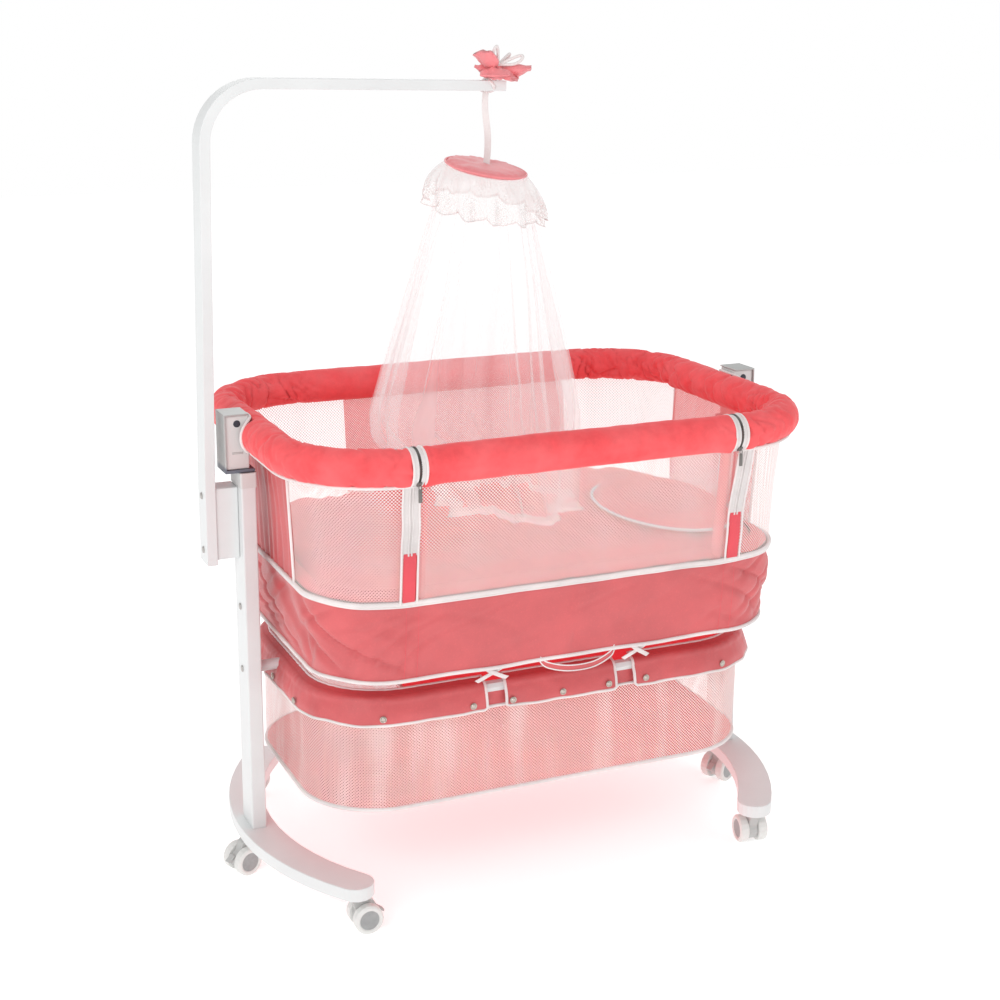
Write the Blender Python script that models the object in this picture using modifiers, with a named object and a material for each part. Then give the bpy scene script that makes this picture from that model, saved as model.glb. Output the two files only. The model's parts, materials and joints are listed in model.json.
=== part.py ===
"""Height-adjustable swinging baby crib with a drop-down front rail, a storage basket,
a mosquito-net pole and six braked twin-wheel casters.

Metres, +Z up. X runs along the crib, -Y is its front. The lengths below are taken from
the midplane between the two posts; one parent empty then moves the whole crib along X so
that its origin is the middle of its footprint on the floor.
"""
import math

import bmesh
import bpy
from mathutils import Matrix, Vector

# ---- overall sizes ----
POST_SPAN = 1.050            # outer face to outer face of the two posts
RIM_HEIGHT = 0.855           # floor to the middle of the rim tube
RIM_WIDTH = 0.700            # between the middles of the front and back rim tubes
FOOT_LENGTH = 0.670          # each foot, front to back
POLE_TOP = 1.490             # top of the net pole's arm at its bend
GAP = 0.0003                 # between faces that touch
PAST = 0.010                 # how far a cutter reaches beyond what it cuts

# ---- casters ----
WHEEL_DIAMETER = 0.054
WHEEL_WIDTH = 0.018
WHEEL_ROUNDING = 0.003
HUB_RADIUS = 0.018
HUB_RECESS = 0.002
CASTER_WEB = 0.019           # width of the housing between the two wheels
AXLE_RADIUS = 0.003
AXLE_PLAY = 0.0004
CASTER_WEB_INSET = 0.006     # wheels' treads down to the housing's round edge
CASTER_NECK = 0.018
CASTER_TRAIL = 0.018         # swivel axis to axle
CASTER_HEADROOM = 0.017      # top of the wheels to the underside of the foot
CASTER_PLATE_RADIUS = 0.015
CASTER_PLATE_THICKNESS = 0.005
CASTER_PLATE_OVERLAP = 0.002 # the plate sinks this far into the housing's neck
CASTER_EDGE = 0.0012
BRAKE_LENGTH = 0.017
BRAKE_WIDTH = 0.013
BRAKE_THICKNESS = 0.004
BRAKE_EDGE = 0.001
BRAKE_HINGE_RADIUS = 0.0235   # from the axle
BRAKE_HINGE_ANGLE = 30.0     # above the horizontal, degrees
BRAKE_SLOPE = 35.0           # degrees, downwards
TIP_CASTER_INSET = 0.035     # foot's end to the swivel axis, front to back
MIDDLE_CASTER_OFFSET = 0.011 # outward from the foot's centre line

# ---- feet ----
FOOT_WIDTH = 0.066
FOOT_THICKNESS = 0.024
FOOT_BULGE = 0.100           # how far the arc's middle stands out beyond its tips
FOOT_ROUNDING = 0.005
FOOT_CORNER = 18.0           # degrees of each end's rounding left out where it meets a side

# ---- posts ----
POST_THICKNESS = 0.028       # along X
POST_WIDTH = 0.068           # along Y
POST_WALL = 0.002
POST_ROUNDING = 0.003
INNER_POST_PLAY = 0.0008
POST_TOP_DROP = 0.095        # rim tube's middle down to the outer post's top
COLLAR_HEIGHT = 0.028
COLLAR_OVERHANG = 0.002
COLLAR_ROUNDING = 0.004
INNER_POST_ROUNDING = 0.001
LIFT_TRAVEL = 0.120
INNER_POST_INSERT = 0.120    # what is left inside the outer post at full lift

# ---- pivot brackets ----
BRACKET_WIDTH = 0.060
BRACKET_SHEET = 0.003
BRACKET_BASE = 0.006
BRACKET_EDGE = 0.0008
BRACKET_RISE = 0.042         # rim tube's middle up to the bracket's top
BRACKET_OUTREACH = 0.027     # beyond the post's outer face
BRACKET_TO_RIM = 0.0035      # bracket's inner edge to the rim tube
HOUSING_MARGIN = 0.004       # bracket's sides to the housing's sides
HOUSING_EDGE = 0.002
STUB_RADIUS = 0.0095
STUB_PLAY = 0.0010
STUB_END_PLAY = 0.0035

# ---- rim ----
RIM_TUBE_RADIUS = 0.0125
RIM_COVER_RADIUS = 0.033
RIM_COVER_PLAY = 0.0018      # padding's bore around the rim tube
RIM_TO_POST = 0.007          # rim tube's middle to the posts' inner faces
COVER_CUT_HALF_WIDTH = 0.047
COVER_CUT_INTO_STUB = 0.00855    # rim tube's middle to the cut, inside the stub's radius
RAIL_HALF_LENGTH = 0.310     # to each zip line
CORNER_BEYOND_ZIP = 0.006    # where the rounded corners begin
ZIP_CLEARANCE = 0.0008

# ---- front rail, its legs and the guides ----
LEG_RADIUS = 0.0095
LEG_BEND = 0.030
LEG_TO_ZIP = 0.015
LEG_PLAY = 0.0003
LEG_BELOW_HEM = 0.034
GUIDE_WALL = 0.0027
GUIDE_HEIGHT = 0.034
GUIDE_BELOW_HEM = 0.042
GUIDE_LUG_WIDTH = 0.012
GUIDE_LUG_OVERLAP = 0.002    # the lug sinks this far into the board and the sleeve

# ---- fabric body, mattress and tray ----
WALL_HEIGHT = 0.243          # rim tube's middle down to the hem
WALL_TOP_DROP = 0.0305
WALL_TOP_OUT_Y = 0.012
WALL_TOP_IN_X = 0.019        # posts' inner faces to the wall's top
HEM_IN_X = 0.031
HEM_IN_Y = 0.010
SKIRT_HEIGHT = 0.155
SKIRT_TAPER_X = 0.011
SKIRT_TAPER_Y = 0.017
FABRIC = 0.003
LEG_INSET = 0.0168           # hem's outer face to the legs' axis
TRAY_THICKNESS = 0.010
TRAY_BELOW_HEM = 0.014
TRAY_IN_X = 0.016
TRAY_TO_LEG = 0.003
MATTRESS_THICKNESS = 0.042
MATTRESS_MARGIN = 0.007      # tray's edge to the mattress
MATTRESS_ROUNDING = 0.012
PILLOW_LENGTH = 0.400        # along Y
PILLOW_WIDTH = 0.250         # along X
PILLOW_THICKNESS = 0.026
PILLOW_TO_EDGE = 0.006
PILLOW_FORWARD = 0.085       # from the mattress's middle, towards the front

# ---- lower frame, flaps and basket ----
FRAME_BELOW_SKIRT = 0.052
FRAME_RADIUS = 0.011
FRAME_IN_X = 0.052           # posts' inner faces to the frame tube's middle
FRAME_IN_Y = 0.085           # rim tube's middle to the frame tube's middle
FRAME_CORNER = 0.150
FRAME_STUB_RADIUS = 0.0106
FLAP_STAND_OFF = 0.004
FLAP_FLARE = 0.010
FLAP_ABOVE = 0.011           # frame tube's middle to the flaps' top
FLAP_BELOW = 0.052
FLAP_SPLIT_X = 0.130         # end flap to middle flap
FLAP_OPENING = 0.035
BASKET_FLOOR_CLEARANCE = 0.100   # above the feet's tops
BASKET_TAPER = 0.012
BASKET_WALL = 0.002

# ---- net pole ----
POLE_THICKNESS = 0.019
POLE_WIDTH = 0.056
POLE_Y = 0.014
POLE_BEND = 0.105            # to the bar's middle
POLE_LEAN = 1.2              # degrees, inward, above the spacer
POLE_ROUNDING = 0.003
SPACER_LENGTH = 0.0424       # post to pole
SPACER_WIDTH = 0.048
SPACER_HEIGHT = 0.134
SPACER_EDGE = 0.0015
SPACER_BELOW_COLLAR = 0.002
POLE_BELOW_SPACER = 0.009
POLE_ARM_END_X = 0.006
BOLT_INSET = 0.016           # spacer's ends to the bolts

# ---- screws and bolts ----
BOLT_RADIUS = 0.003
BOLT_PLAY = 0.0003
BOLT_HEAD_RADIUS = 0.0065
BOLT_HEAD_HEIGHT = 0.0028
GUIDE_SCREW_ABOVE_FRAME = 0.122
FRAME_BOLT_DEPTH = 0.020
FRAME_BOLT_END_PLAY = 0.002

# ---- mosquito net ----
NET_X = -0.024
CROWN_DROP = 0.173           # pole's top to the middle of the crown disc
CROWN_RADIUS = 0.076
CROWN_THICKNESS = 0.012
CROWN_FACE = 0.9             # the flat face's share of the disc's radius
CROWN_TILT = 7.0             # degrees, down towards +X
STRAP_WIDTH = 0.010
STRAP_THICKNESS = 0.0025
LACE_FLARE = 0.120
LACE_DROP = 0.082
LACE_THICKNESS = 0.002
LACE_TO_CROWN = 0.004
LACE_SHOULDER = 0.018        # beyond the crown's edge
LACE_SHOULDER_DROP = 0.020
NET_TOP_RADIUS = 0.070
NET_RIM_RADIUS = 0.185
NET_HEM_RADIUS = 0.150
NET_ABOVE_MATTRESS = 0.024
NET_THICKNESS = 0.002
NET_BELOW_CROWN = 0.004
NET_UNDER_LACE = 0.012       # how far the net opens out beneath the lace
NET_SIDES = 28
BOW_LENGTH = 0.105
BOW_WIDTH = 0.070
BOW_HEIGHT = 0.044
BOW_BEFORE_END = 0.012       # arm's end back to the bow's middle
BOW_ABOVE_ARM = 0.0015       # clears the arm's lean

# ---- derived places ----
CASTER_HEIGHT = WHEEL_DIAMETER + CASTER_HEADROOM
FOOT_TOP = CASTER_HEIGHT + FOOT_THICKNESS
POST_OUTER_X = POST_SPAN / 2
POST_INNER_X = POST_OUTER_X - POST_THICKNESS
POST_X = POST_OUTER_X - POST_THICKNESS / 2
POST_TOP = RIM_HEIGHT - POST_TOP_DROP
COLLAR_TOP = POST_TOP + COLLAR_HEIGHT
BRACKET_BOTTOM = COLLAR_TOP + 2 * GAP
BRACKET_TOP = RIM_HEIGHT + BRACKET_RISE
BRACKET_OUTER_X = POST_OUTER_X + BRACKET_OUTREACH
RIM_X = POST_INNER_X - RIM_TO_POST
RIM_Y = RIM_WIDTH / 2
BRACKET_INNER_X = RIM_X + RIM_TUBE_RADIUS + BRACKET_TO_RIM
HOUSING_OUTER_X = BRACKET_OUTER_X - BRACKET_SHEET - GAP
HEM_Z = RIM_HEIGHT - WALL_HEIGHT
HEM_X = POST_INNER_X - HEM_IN_X
HEM_Y = RIM_Y - HEM_IN_Y
WALL_TOP_Z = RIM_HEIGHT - WALL_TOP_DROP
WALL_TOP_X = POST_INNER_X - WALL_TOP_IN_X
WALL_TOP_Y = RIM_Y + WALL_TOP_OUT_Y
SKIRT_BOTTOM_Z = HEM_Z - SKIRT_HEIGHT
LEG_Y = HEM_Y - LEG_INSET
LEG_X = RAIL_HALF_LENGTH - LEG_TO_ZIP
TRAY_TOP = HEM_Z - TRAY_BELOW_HEM
TRAY_X = HEM_X - TRAY_IN_X
TRAY_Y = LEG_Y - LEG_RADIUS - TRAY_TO_LEG
MATTRESS_TOP = TRAY_TOP + 2 * GAP + MATTRESS_THICKNESS
FRAME_Z = SKIRT_BOTTOM_Z - FRAME_BELOW_SKIRT
FRAME_X = POST_INNER_X - FRAME_IN_X
FRAME_Y = RIM_Y - FRAME_IN_Y
FLAP_TOP_X = FRAME_X + FRAME_RADIUS + FLAP_STAND_OFF
FLAP_TOP_Y = FRAME_Y + FRAME_RADIUS + FLAP_STAND_OFF
BASKET_TOP_Z = FRAME_Z - FRAME_RADIUS - GAP
BASKET_BOTTOM_Z = FOOT_TOP + BASKET_FLOOR_CLEARANCE
SPACER_TOP = POST_TOP - SPACER_BELOW_COLLAR
SPACER_BOTTOM = SPACER_TOP - SPACER_HEIGHT
POLE_INNER_X = POST_OUTER_X + SPACER_LENGTH
POLE_X = POLE_INNER_X + POLE_THICKNESS / 2
NET_HEM_Z = MATTRESS_TOP + NET_ABOVE_MATTRESS
CROWN_HEIGHT = POLE_TOP - CROWN_DROP
FOOT_ARC = ((FOOT_LENGTH - FOOT_WIDTH) ** 2 / 4 + FOOT_BULGE ** 2) / (2 * FOOT_BULGE)
LEFT_END = POLE_INNER_X + POLE_THICKNESS + BOLT_HEAD_HEIGHT + GAP
RIGHT_END = max(BRACKET_OUTER_X, POST_X + FOOT_WIDTH / 2)
ORIGIN_X = (LEFT_END - RIGHT_END) / 2

CORNER_STEPS = 6
SIDES_OF_A_BORE = 20
SIDES = {"left": -1, "right": 1}

for old in list(bpy.data.objects):
    bpy.data.objects.remove(old)
crib = bpy.data.collections.new("baby_crib")
cutters = bpy.data.collections.new("cutters")
bpy.context.scene.collection.children.link(crib)
bpy.context.scene.collection.children.link(cutters)
origin = bpy.data.objects.new("crib_origin", None)
origin.location.x = ORIGIN_X
crib.objects.link(origin)


# ---- materials ----
def make_material(name, colour, roughness, metallic=0.0):
    material = bpy.data.materials.new(name)
    material.use_nodes = True
    shader = material.node_tree.nodes["Principled BSDF"]
    shader.inputs["Base Color"].default_value = (*colour, 1.0)
    shader.inputs["Roughness"].default_value = roughness
    shader.inputs["Metallic"].default_value = metallic
    return material


WHITE_PAINT = make_material("white_paint", (0.86, 0.84, 0.83), 0.35)
WHITE_LACQUER = make_material("white_lacquer", (0.86, 0.84, 0.83), 0.40)
WHITE_TUBE = make_material("white_tube", (0.86, 0.84, 0.83), 0.35)
WHITE_PLASTIC = make_material("white_plastic", (0.82, 0.82, 0.80), 0.40)
GREY_PLASTIC = make_material("grey_plastic", (0.30, 0.31, 0.30), 0.50)
SLATE_METAL = make_material("slate_metal", (0.28, 0.31, 0.36), 0.38, 0.6)
STEEL = make_material("steel", (0.45, 0.44, 0.42), 0.30, 1.0)
CORAL_PLUSH = make_material("coral_plush", (0.90, 0.09, 0.09), 0.90)
CORAL_SATIN = make_material("coral_satin", (0.78, 0.16, 0.18), 0.55)
WHITE_MESH = make_material("white_mesh", (0.90, 0.78, 0.76), 0.80)
CORAL_QUILT = make_material("coral_quilt", (0.86, 0.22, 0.21), 0.85)
WHITE_LACE = make_material("white_lace", (0.88, 0.86, 0.86), 0.80)
BOARD = make_material("board", (0.60, 0.52, 0.42), 0.80)


# ---- building helpers ----
def link(name, mesh, material, collection=crib):
    piece = bpy.data.objects.new(name, mesh)
    mesh.materials.clear()
    if material:
        mesh.materials.append(material)
    collection.objects.link(piece)
    piece.parent = origin
    return piece


def evaluated_mesh(piece):
    """The piece's mesh with its modifiers applied and its loose caps welded."""
    bpy.context.view_layer.update()
    depsgraph = bpy.context.evaluated_depsgraph_get()
    mesh = bpy.data.meshes.new_from_object(piece.evaluated_get(depsgraph))
    cage = bmesh.new()
    cage.from_mesh(mesh)
    bmesh.ops.remove_doubles(cage, verts=cage.verts, dist=0.00002)
    cage.to_mesh(mesh)
    cage.free()
    return mesh


def curve_to_piece(name, curve, material, placement=None, collection=crib):
    """A mesh object made from a curve, which is then removed."""
    guide = bpy.data.objects.new(name + "_curve", curve)
    collection.objects.link(guide)
    mesh = evaluated_mesh(guide)
    bpy.data.objects.remove(guide)
    if placement:
        mesh.transform(placement)
    return link(name, mesh, material, collection)


def add_spline(curve, points, cyclic):
    spline = curve.splines.new("POLY")
    spline.points.add(len(points) - 1)
    for target, point in zip(spline.points, points):
        target.co = (*Vector(point).to_3d(), 1.0)
    spline.use_cyclic_u = cyclic


def plate(name, outlines, thickness, material, placement, bevel=0.0, segments=2):
    """A flat outline, with any holes, thickened both ways about its own plane."""
    curve = bpy.data.curves.new(name, "CURVE")
    curve.dimensions = "2D"
    curve.fill_mode = "BOTH"
    curve.extrude = thickness / 2
    for outline in outlines:
        add_spline(curve, outline, True)
    piece = curve_to_piece(name, curve, material, placement)
    if bevel:
        add_bevel(piece, bevel, segments)
    return piece


def tube(name, points, radius, material, cyclic=False, caps=True, resolution=2):
    curve = bpy.data.curves.new(name, "CURVE")
    curve.dimensions = "3D"
    curve.bevel_depth = radius
    curve.bevel_resolution = resolution
    curve.use_fill_caps = caps
    add_spline(curve, points, cyclic)
    return curve_to_piece(name, curve, material)


def add_bevel(piece, width, segments=2):
    bevel = piece.modifiers.new("edges", "BEVEL")
    bevel.width = width
    bevel.segments = segments
    bevel.limit_method = "ANGLE"
    bevel.angle_limit = math.radians(40)


def add_solidify(piece, thickness):
    """Thickens an outward-facing surface inwards."""
    shell = piece.modifiers.new("wall", "SOLIDIFY")
    shell.thickness = thickness
    shell.offset = -1


def box(name, size, centre, material, bevel=0.0, collection=crib):
    mesh = bpy.data.meshes.new(name)
    cage = bmesh.new()
    bmesh.ops.create_cube(cage, size=1.0, matrix=Matrix.Diagonal((*size, 1.0)))
    cage.to_mesh(mesh)
    cage.free()
    piece = link(name, mesh, material, collection)
    piece.location = centre
    if bevel:
        add_bevel(piece, bevel)
    return piece


def rod(name, start, end, radius, material=None, sides=16, collection=crib):
    """A straight round rod from start to end."""
    start, end = Vector(start), Vector(end)
    mesh = bpy.data.meshes.new(name)
    cage = bmesh.new()
    bmesh.ops.create_cone(cage, cap_ends=True, segments=sides, radius1=radius,
                          radius2=radius, depth=(end - start).length)
    cage.to_mesh(mesh)
    cage.free()
    piece = link(name, mesh, material, collection)
    piece.rotation_mode = "QUATERNION"
    piece.rotation_quaternion = (end - start).to_track_quat("Z", "Y")
    piece.location = (start + end) / 2
    return piece


def cutter(piece):
    piece.hide_render = True
    piece.display_type = "WIRE"
    return piece


def boolean(piece, tool, operation="DIFFERENCE"):
    step = piece.modifiers.new(operation.lower(), "BOOLEAN")
    step.operation = operation
    step.object = cutter(tool)


def drill(piece, start, end, radius, sides=16):
    """Cuts a round hole from start to end."""
    tool = rod(piece.name + "_drill", start, end, radius, sides=sides, collection=cutters)
    boolean(piece, tool)


def cut_box(piece, size, centre):
    boolean(piece, box(piece.name + "_cut", size, centre, None, collection=cutters))


def turned(name, profile, material, steps, centre, turn=None):
    """A profile of (radius, height) points, outer side listed downwards, spun about Z."""
    mesh = bpy.data.meshes.new(name)
    points = [(radius, 0.0, height) for radius, height in profile]
    edges = [(index, index + 1) for index in range(len(points) - 1)]
    mesh.from_pydata(points, edges, [])
    piece = link(name, mesh, material)
    screw = piece.modifiers.new("turn", "SCREW")
    screw.steps = steps
    screw.render_steps = steps
    screw.use_merge_vertices = True
    screw.merge_threshold = 0.00005
    piece.location = centre
    if turn:
        piece.rotation_euler = turn
    return piece


def smooth(piece, angle=35):
    piece.data.shade_smooth()
    piece.data.set_sharp_from_angle(angle=math.radians(angle))


def set_origin(piece, point):
    """Moves a piece's origin to a point of the crib's frame, leaving its shape in place."""
    bpy.context.view_layer.update()
    move = Matrix.Translation(-Vector(point)) @ piece.matrix_basis
    piece.data.transform(move)
    piece.matrix_basis = Matrix.Translation(Vector(point))


# ---- outlines ----
def arc(centre_x, centre_y, radius, start, end, steps):
    """Points on an arc, angles in degrees."""
    points = []
    for step in range(steps + 1):
        angle = math.radians(start + (end - start) * step / steps)
        points.append((centre_x + radius * math.cos(angle), centre_y + radius * math.sin(angle)))
    return points


def rounded_rectangle(half_x, half_y, radius, steps=CORNER_STEPS):
    """Counter-clockwise from the middle of the front side."""
    in_x, in_y = half_x - radius, half_y - radius
    return (arc(in_x, -in_y, radius, -90, 0, steps) + arc(in_x, in_y, radius, 0, 90, steps)
            + arc(-in_x, in_y, radius, 90, 180, steps)
            + arc(-in_x, -in_y, radius, 180, 270, steps))


def body_ring(half_x, half_y):
    """A ring of the cradle, whose corners all begin just beyond the zip lines."""
    return rounded_rectangle(half_x, half_y, half_x - RAIL_HALF_LENGTH - CORNER_BEYOND_ZIP)


def open_ring(half_x, half_y, gap_half):
    """A ring of the cradle, open at the front between -gap_half and +gap_half."""
    ring = body_ring(half_x, half_y)
    return [(gap_half, -half_y)] + ring + [(-gap_half, -half_y)]


def at_height(points, height):
    return [(x, y, height) for x, y in points]


def loft(name, rings, material, closed, floor=False, thickness=FABRIC):
    """A shell through rings of equal length, from bottom to top, thickened inwards."""
    mesh = bpy.data.meshes.new(name)
    cage = bmesh.new()
    rows = [[cage.verts.new(point) for point in ring] for ring in rings]
    count = len(rows[0])
    for low, high in zip(rows, rows[1:]):
        for index in range(count if closed else count - 1):
            after = (index + 1) % count
            cage.faces.new((low[index], low[after], high[after], high[index]))
    if floor:
        cage.faces.new(list(reversed(rows[0])))
    cage.to_mesh(mesh)
    cage.free()
    piece = link(name, mesh, material)
    add_solidify(piece, thickness)
    return piece


FACING_FRONT = Matrix.Rotation(math.radians(90), 4, "X")     # plate's X, Y become +X, +Z


# ---- casters ----
def wheel_profile():
    """One closed turned profile: two wheels and the axle between them."""
    outer = WHEEL_DIAMETER / 2
    inside = CASTER_WEB / 2 + GAP * 2
    outside = inside + WHEEL_WIDTH
    half = [(0.0, outside - HUB_RECESS), (HUB_RADIUS, outside - HUB_RECESS),
            (HUB_RADIUS + HUB_RECESS, outside), (outer - WHEEL_ROUNDING, outside),
            (outer, outside - WHEEL_ROUNDING), (outer, inside + WHEEL_ROUNDING / 2),
            (outer - WHEEL_ROUNDING / 2, inside), (AXLE_RADIUS, inside)]
    return half + [(radius, -height) for radius, height in reversed(half)]


def caster_outline():
    """Side view about the swivel axis: a mounting neck running into a round web."""
    axle_z = WHEEL_DIAMETER / 2
    web = axle_z - CASTER_WEB_INSET
    neck = CASTER_HEIGHT - CASTER_PLATE_THICKNESS - axle_z
    half = CASTER_NECK / 2
    shoulder = neck - half / 2
    left = [(-half, neck), (-half, shoulder)]
    right = [(CASTER_TRAIL + half / 2, shoulder), (CASTER_TRAIL - half / 4, neck)]
    return left + arc(CASTER_TRAIL, 0, web, 150, 420, 14) + right


def make_caster(name, x, y, heading):
    axle_z = WHEEL_DIAMETER / 2
    turn = Matrix.Rotation(math.radians(heading), 4, "Z")
    swivel = Vector((x, y, 0))
    lift = Vector((0, 0, axle_z))
    trail = turn @ Vector((CASTER_TRAIL, 0, 0))
    across = turn @ Vector((0, 1, 0))
    axle = swivel + trail + lift

    body = plate("caster_body_" + name, [caster_outline()], CASTER_WEB, GREY_PLASTIC,
                 Matrix.Translation(swivel + lift) @ turn @ FACING_FRONT, CASTER_EDGE, 1)
    top = swivel + Vector((0, 0, CASTER_HEIGHT - GAP))
    seat = top - Vector((0, 0, CASTER_PLATE_THICKNESS + CASTER_PLATE_OVERLAP - GAP))
    boolean(body, rod(body.name + "_plate", seat, top, CASTER_PLATE_RADIUS,
                      sides=SIDES_OF_A_BORE, collection=cutters), "UNION")
    reach = across * (CASTER_WEB / 2 + PAST)
    drill(body, axle - reach, axle + reach, AXLE_RADIUS + AXLE_PLAY, 12)
    set_origin(body, swivel + Vector((0, 0, CASTER_HEIGHT)))

    wheels = turned("caster_wheels_" + name, wheel_profile(), WHITE_PLASTIC, 18, axle)
    wheels.rotation_mode = "QUATERNION"
    wheels.rotation_quaternion = across.to_track_quat("Z", "Y")
    smooth(wheels)

    angle = math.radians(BRAKE_HINGE_ANGLE)
    hinge = axle + turn @ Vector((BRAKE_HINGE_RADIUS * math.cos(angle), 0,
                                  BRAKE_HINGE_RADIUS * math.sin(angle)))
    pedal = box("caster_brake_" + name, (BRAKE_LENGTH, BRAKE_WIDTH, BRAKE_THICKNESS),
                (0, 0, 0), GREY_PLASTIC, BRAKE_EDGE)
    pedal.data.transform(Matrix.Translation((BRAKE_LENGTH / 2, 0, 0)))
    pedal.rotation_euler = (0, math.radians(BRAKE_SLOPE), math.radians(heading))
    pedal.location = hinge


def make_casters():
    arc_centre = POST_X - FOOT_ARC
    tip_y = FOOT_LENGTH / 2 - TIP_CASTER_INSET
    tip_x = arc_centre + math.sqrt(FOOT_ARC ** 2 - tip_y ** 2)
    middle_x = POST_X + MIDDLE_CASTER_OFFSET
    make_caster("left_front", -tip_x, -tip_y, 0)
    make_caster("left_middle", -middle_x, 0, 199)
    make_caster("left_back", -tip_x, tip_y, 150)
    make_caster("right_front", tip_x, -tip_y, 80)
    make_caster("right_middle", middle_x, 0, 205)
    make_caster("right_back", tip_x, tip_y, 20)


# ---- feet and posts ----
def make_foot(name, side):
    arc_centre = (POST_X - FOOT_ARC) * side
    span = math.degrees(math.asin((FOOT_LENGTH - FOOT_WIDTH) / 2 / FOOT_ARC))
    half = FOOT_WIDTH / 2
    tip_x = FOOT_ARC * math.cos(math.radians(span))
    tip_y = FOOT_ARC * math.sin(math.radians(span))
    skip = FOOT_CORNER
    outline = (arc(0, 0, FOOT_ARC + half, -span, span, 16)
               + arc(tip_x, tip_y, half, span + skip, span + 180 - skip, 8)
               + arc(0, 0, FOOT_ARC - half, span, -span, 14)
               + arc(tip_x, -tip_y, half, 180 - span + skip, 360 - span - skip, 8))
    outline = [(arc_centre + side * x, y) for x, y in outline]
    middle = Matrix.Translation((0, 0, CASTER_HEIGHT + FOOT_THICKNESS / 2))
    foot = plate("foot_" + name, [outline], FOOT_THICKNESS, WHITE_LACQUER, middle,
                 FOOT_ROUNDING)
    smooth(foot, 50)


def make_post(name, side):
    x = POST_X * side
    outer = (POST_THICKNESS / 2, POST_WIDTH / 2)
    inner = (outer[0] - POST_WALL, outer[1] - POST_WALL)
    bottom = FOOT_TOP + GAP
    middle = Matrix.Translation((x, 0, (bottom + POST_TOP) / 2))
    post = plate("post_" + name, [rounded_rectangle(*outer, POST_ROUNDING, 3),
                                  rounded_rectangle(*inner, POST_ROUNDING / 2, 2)],
                 POST_TOP - bottom, WHITE_PAINT, middle)
    hole = BOLT_RADIUS + BOLT_PLAY
    outside = (POST_OUTER_X + PAST) * side
    within = (POST_OUTER_X - POST_WALL * 3) * side
    across = (POST_INNER_X - PAST) * side
    screw_z = FRAME_Z + GUIDE_SCREW_ABOVE_FRAME
    drill(post, (outside, 0, FRAME_Z), (across, 0, FRAME_Z), hole)
    drill(post, (outside, 0, screw_z), (within, 0, screw_z), hole)
    if side < 0:
        for height in bolt_heights():
            drill(post, (outside, POLE_Y, height), (within, POLE_Y, height), hole)

    rim = (outer[0] + COLLAR_OVERHANG, outer[1] + COLLAR_OVERHANG)
    slot = (inner[0] - INNER_POST_PLAY / 2, inner[1] - INNER_POST_PLAY / 2)
    place = Matrix.Translation((x, 0, (POST_TOP + GAP + COLLAR_TOP) / 2))
    collar = plate("post_collar_" + name,
                   [rounded_rectangle(*rim, COLLAR_ROUNDING, 3),
                    rounded_rectangle(*slot, INNER_POST_ROUNDING, 1)],
                   COLLAR_HEIGHT - GAP, WHITE_PLASTIC, place)
    smooth(collar)

    slide = (inner[0] - INNER_POST_PLAY, inner[1] - INNER_POST_PLAY)
    hollow = (slide[0] - POST_WALL, slide[1] - POST_WALL)
    low = POST_TOP - LIFT_TRAVEL - INNER_POST_INSERT
    high = COLLAR_TOP + GAP
    centre = Matrix.Translation((x, 0, (low + high) / 2))
    inner_post = plate("inner_post_" + name,
                       [rounded_rectangle(*slide, INNER_POST_ROUNDING, 1),
                        rounded_rectangle(*hollow, INNER_POST_ROUNDING / 2, 1)],
                       high - low, STEEL, centre)
    set_origin(inner_post, (x, 0, COLLAR_TOP))

    make_screw("guide_screw_" + name, (POST_OUTER_X * side, 0, screw_z), side, POST_WALL)
    depth = POST_THICKNESS + FRAME_BOLT_DEPTH
    make_screw("frame_bolt_" + name, (POST_OUTER_X * side, 0, FRAME_Z), side, depth)


def make_screw(name, face, side, depth):
    """A domed head standing on a face at +-X, with a shank going depth into it."""
    head = BOLT_HEAD_HEIGHT + GAP
    profile = [(0.0, head), (BOLT_HEAD_RADIUS * 0.6, head - BOLT_HEAD_HEIGHT * 0.1),
               (BOLT_HEAD_RADIUS * 0.92, head - BOLT_HEAD_HEIGHT * 0.4),
               (BOLT_HEAD_RADIUS, GAP), (BOLT_RADIUS, GAP), (BOLT_RADIUS, -depth),
               (0.0, -depth)]
    screw = turned(name, profile, STEEL, 16, face, (0, math.radians(90 * side), 0))
    smooth(screw)


# ---- pivot brackets ----
def make_bracket(name, side):
    outer, inner = BRACKET_OUTER_X, BRACKET_INNER_X
    low, high, sheet = BRACKET_BOTTOM, BRACKET_TOP, BRACKET_SHEET
    base_top = low + BRACKET_BASE
    channel = [(outer, low), (POST_INNER_X, low), (POST_INNER_X, base_top),
               (outer - sheet, base_top), (outer - sheet, high - sheet),
               (inner, high - sheet), (inner, high), (outer, high)]
    channel = [(side * x, z) for x, z in channel]
    bracket = plate("pivot_bracket_" + name, [channel], BRACKET_WIDTH, SLATE_METAL,
                    FACING_FRONT, BRACKET_EDGE, 1)
    set_origin(bracket, (POST_X * side, 0, COLLAR_TOP))

    floor, roof = base_top + GAP, high - sheet - GAP
    size = (HOUSING_OUTER_X - inner, BRACKET_WIDTH - 2 * HOUSING_MARGIN, roof - floor)
    centre = ((HOUSING_OUTER_X + inner) / 2 * side, 0, (floor + roof) / 2)
    housing = box("pivot_housing_" + name, size, centre, WHITE_PLASTIC, HOUSING_EDGE)
    drill(housing, ((inner - PAST) * side, 0, RIM_HEIGHT),
          ((HOUSING_OUTER_X - BRACKET_SHEET) * side, 0, RIM_HEIGHT), STUB_RADIUS + STUB_PLAY,
          SIDES_OF_A_BORE)
    set_origin(housing, (POST_X * side, 0, COLLAR_TOP))


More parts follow.
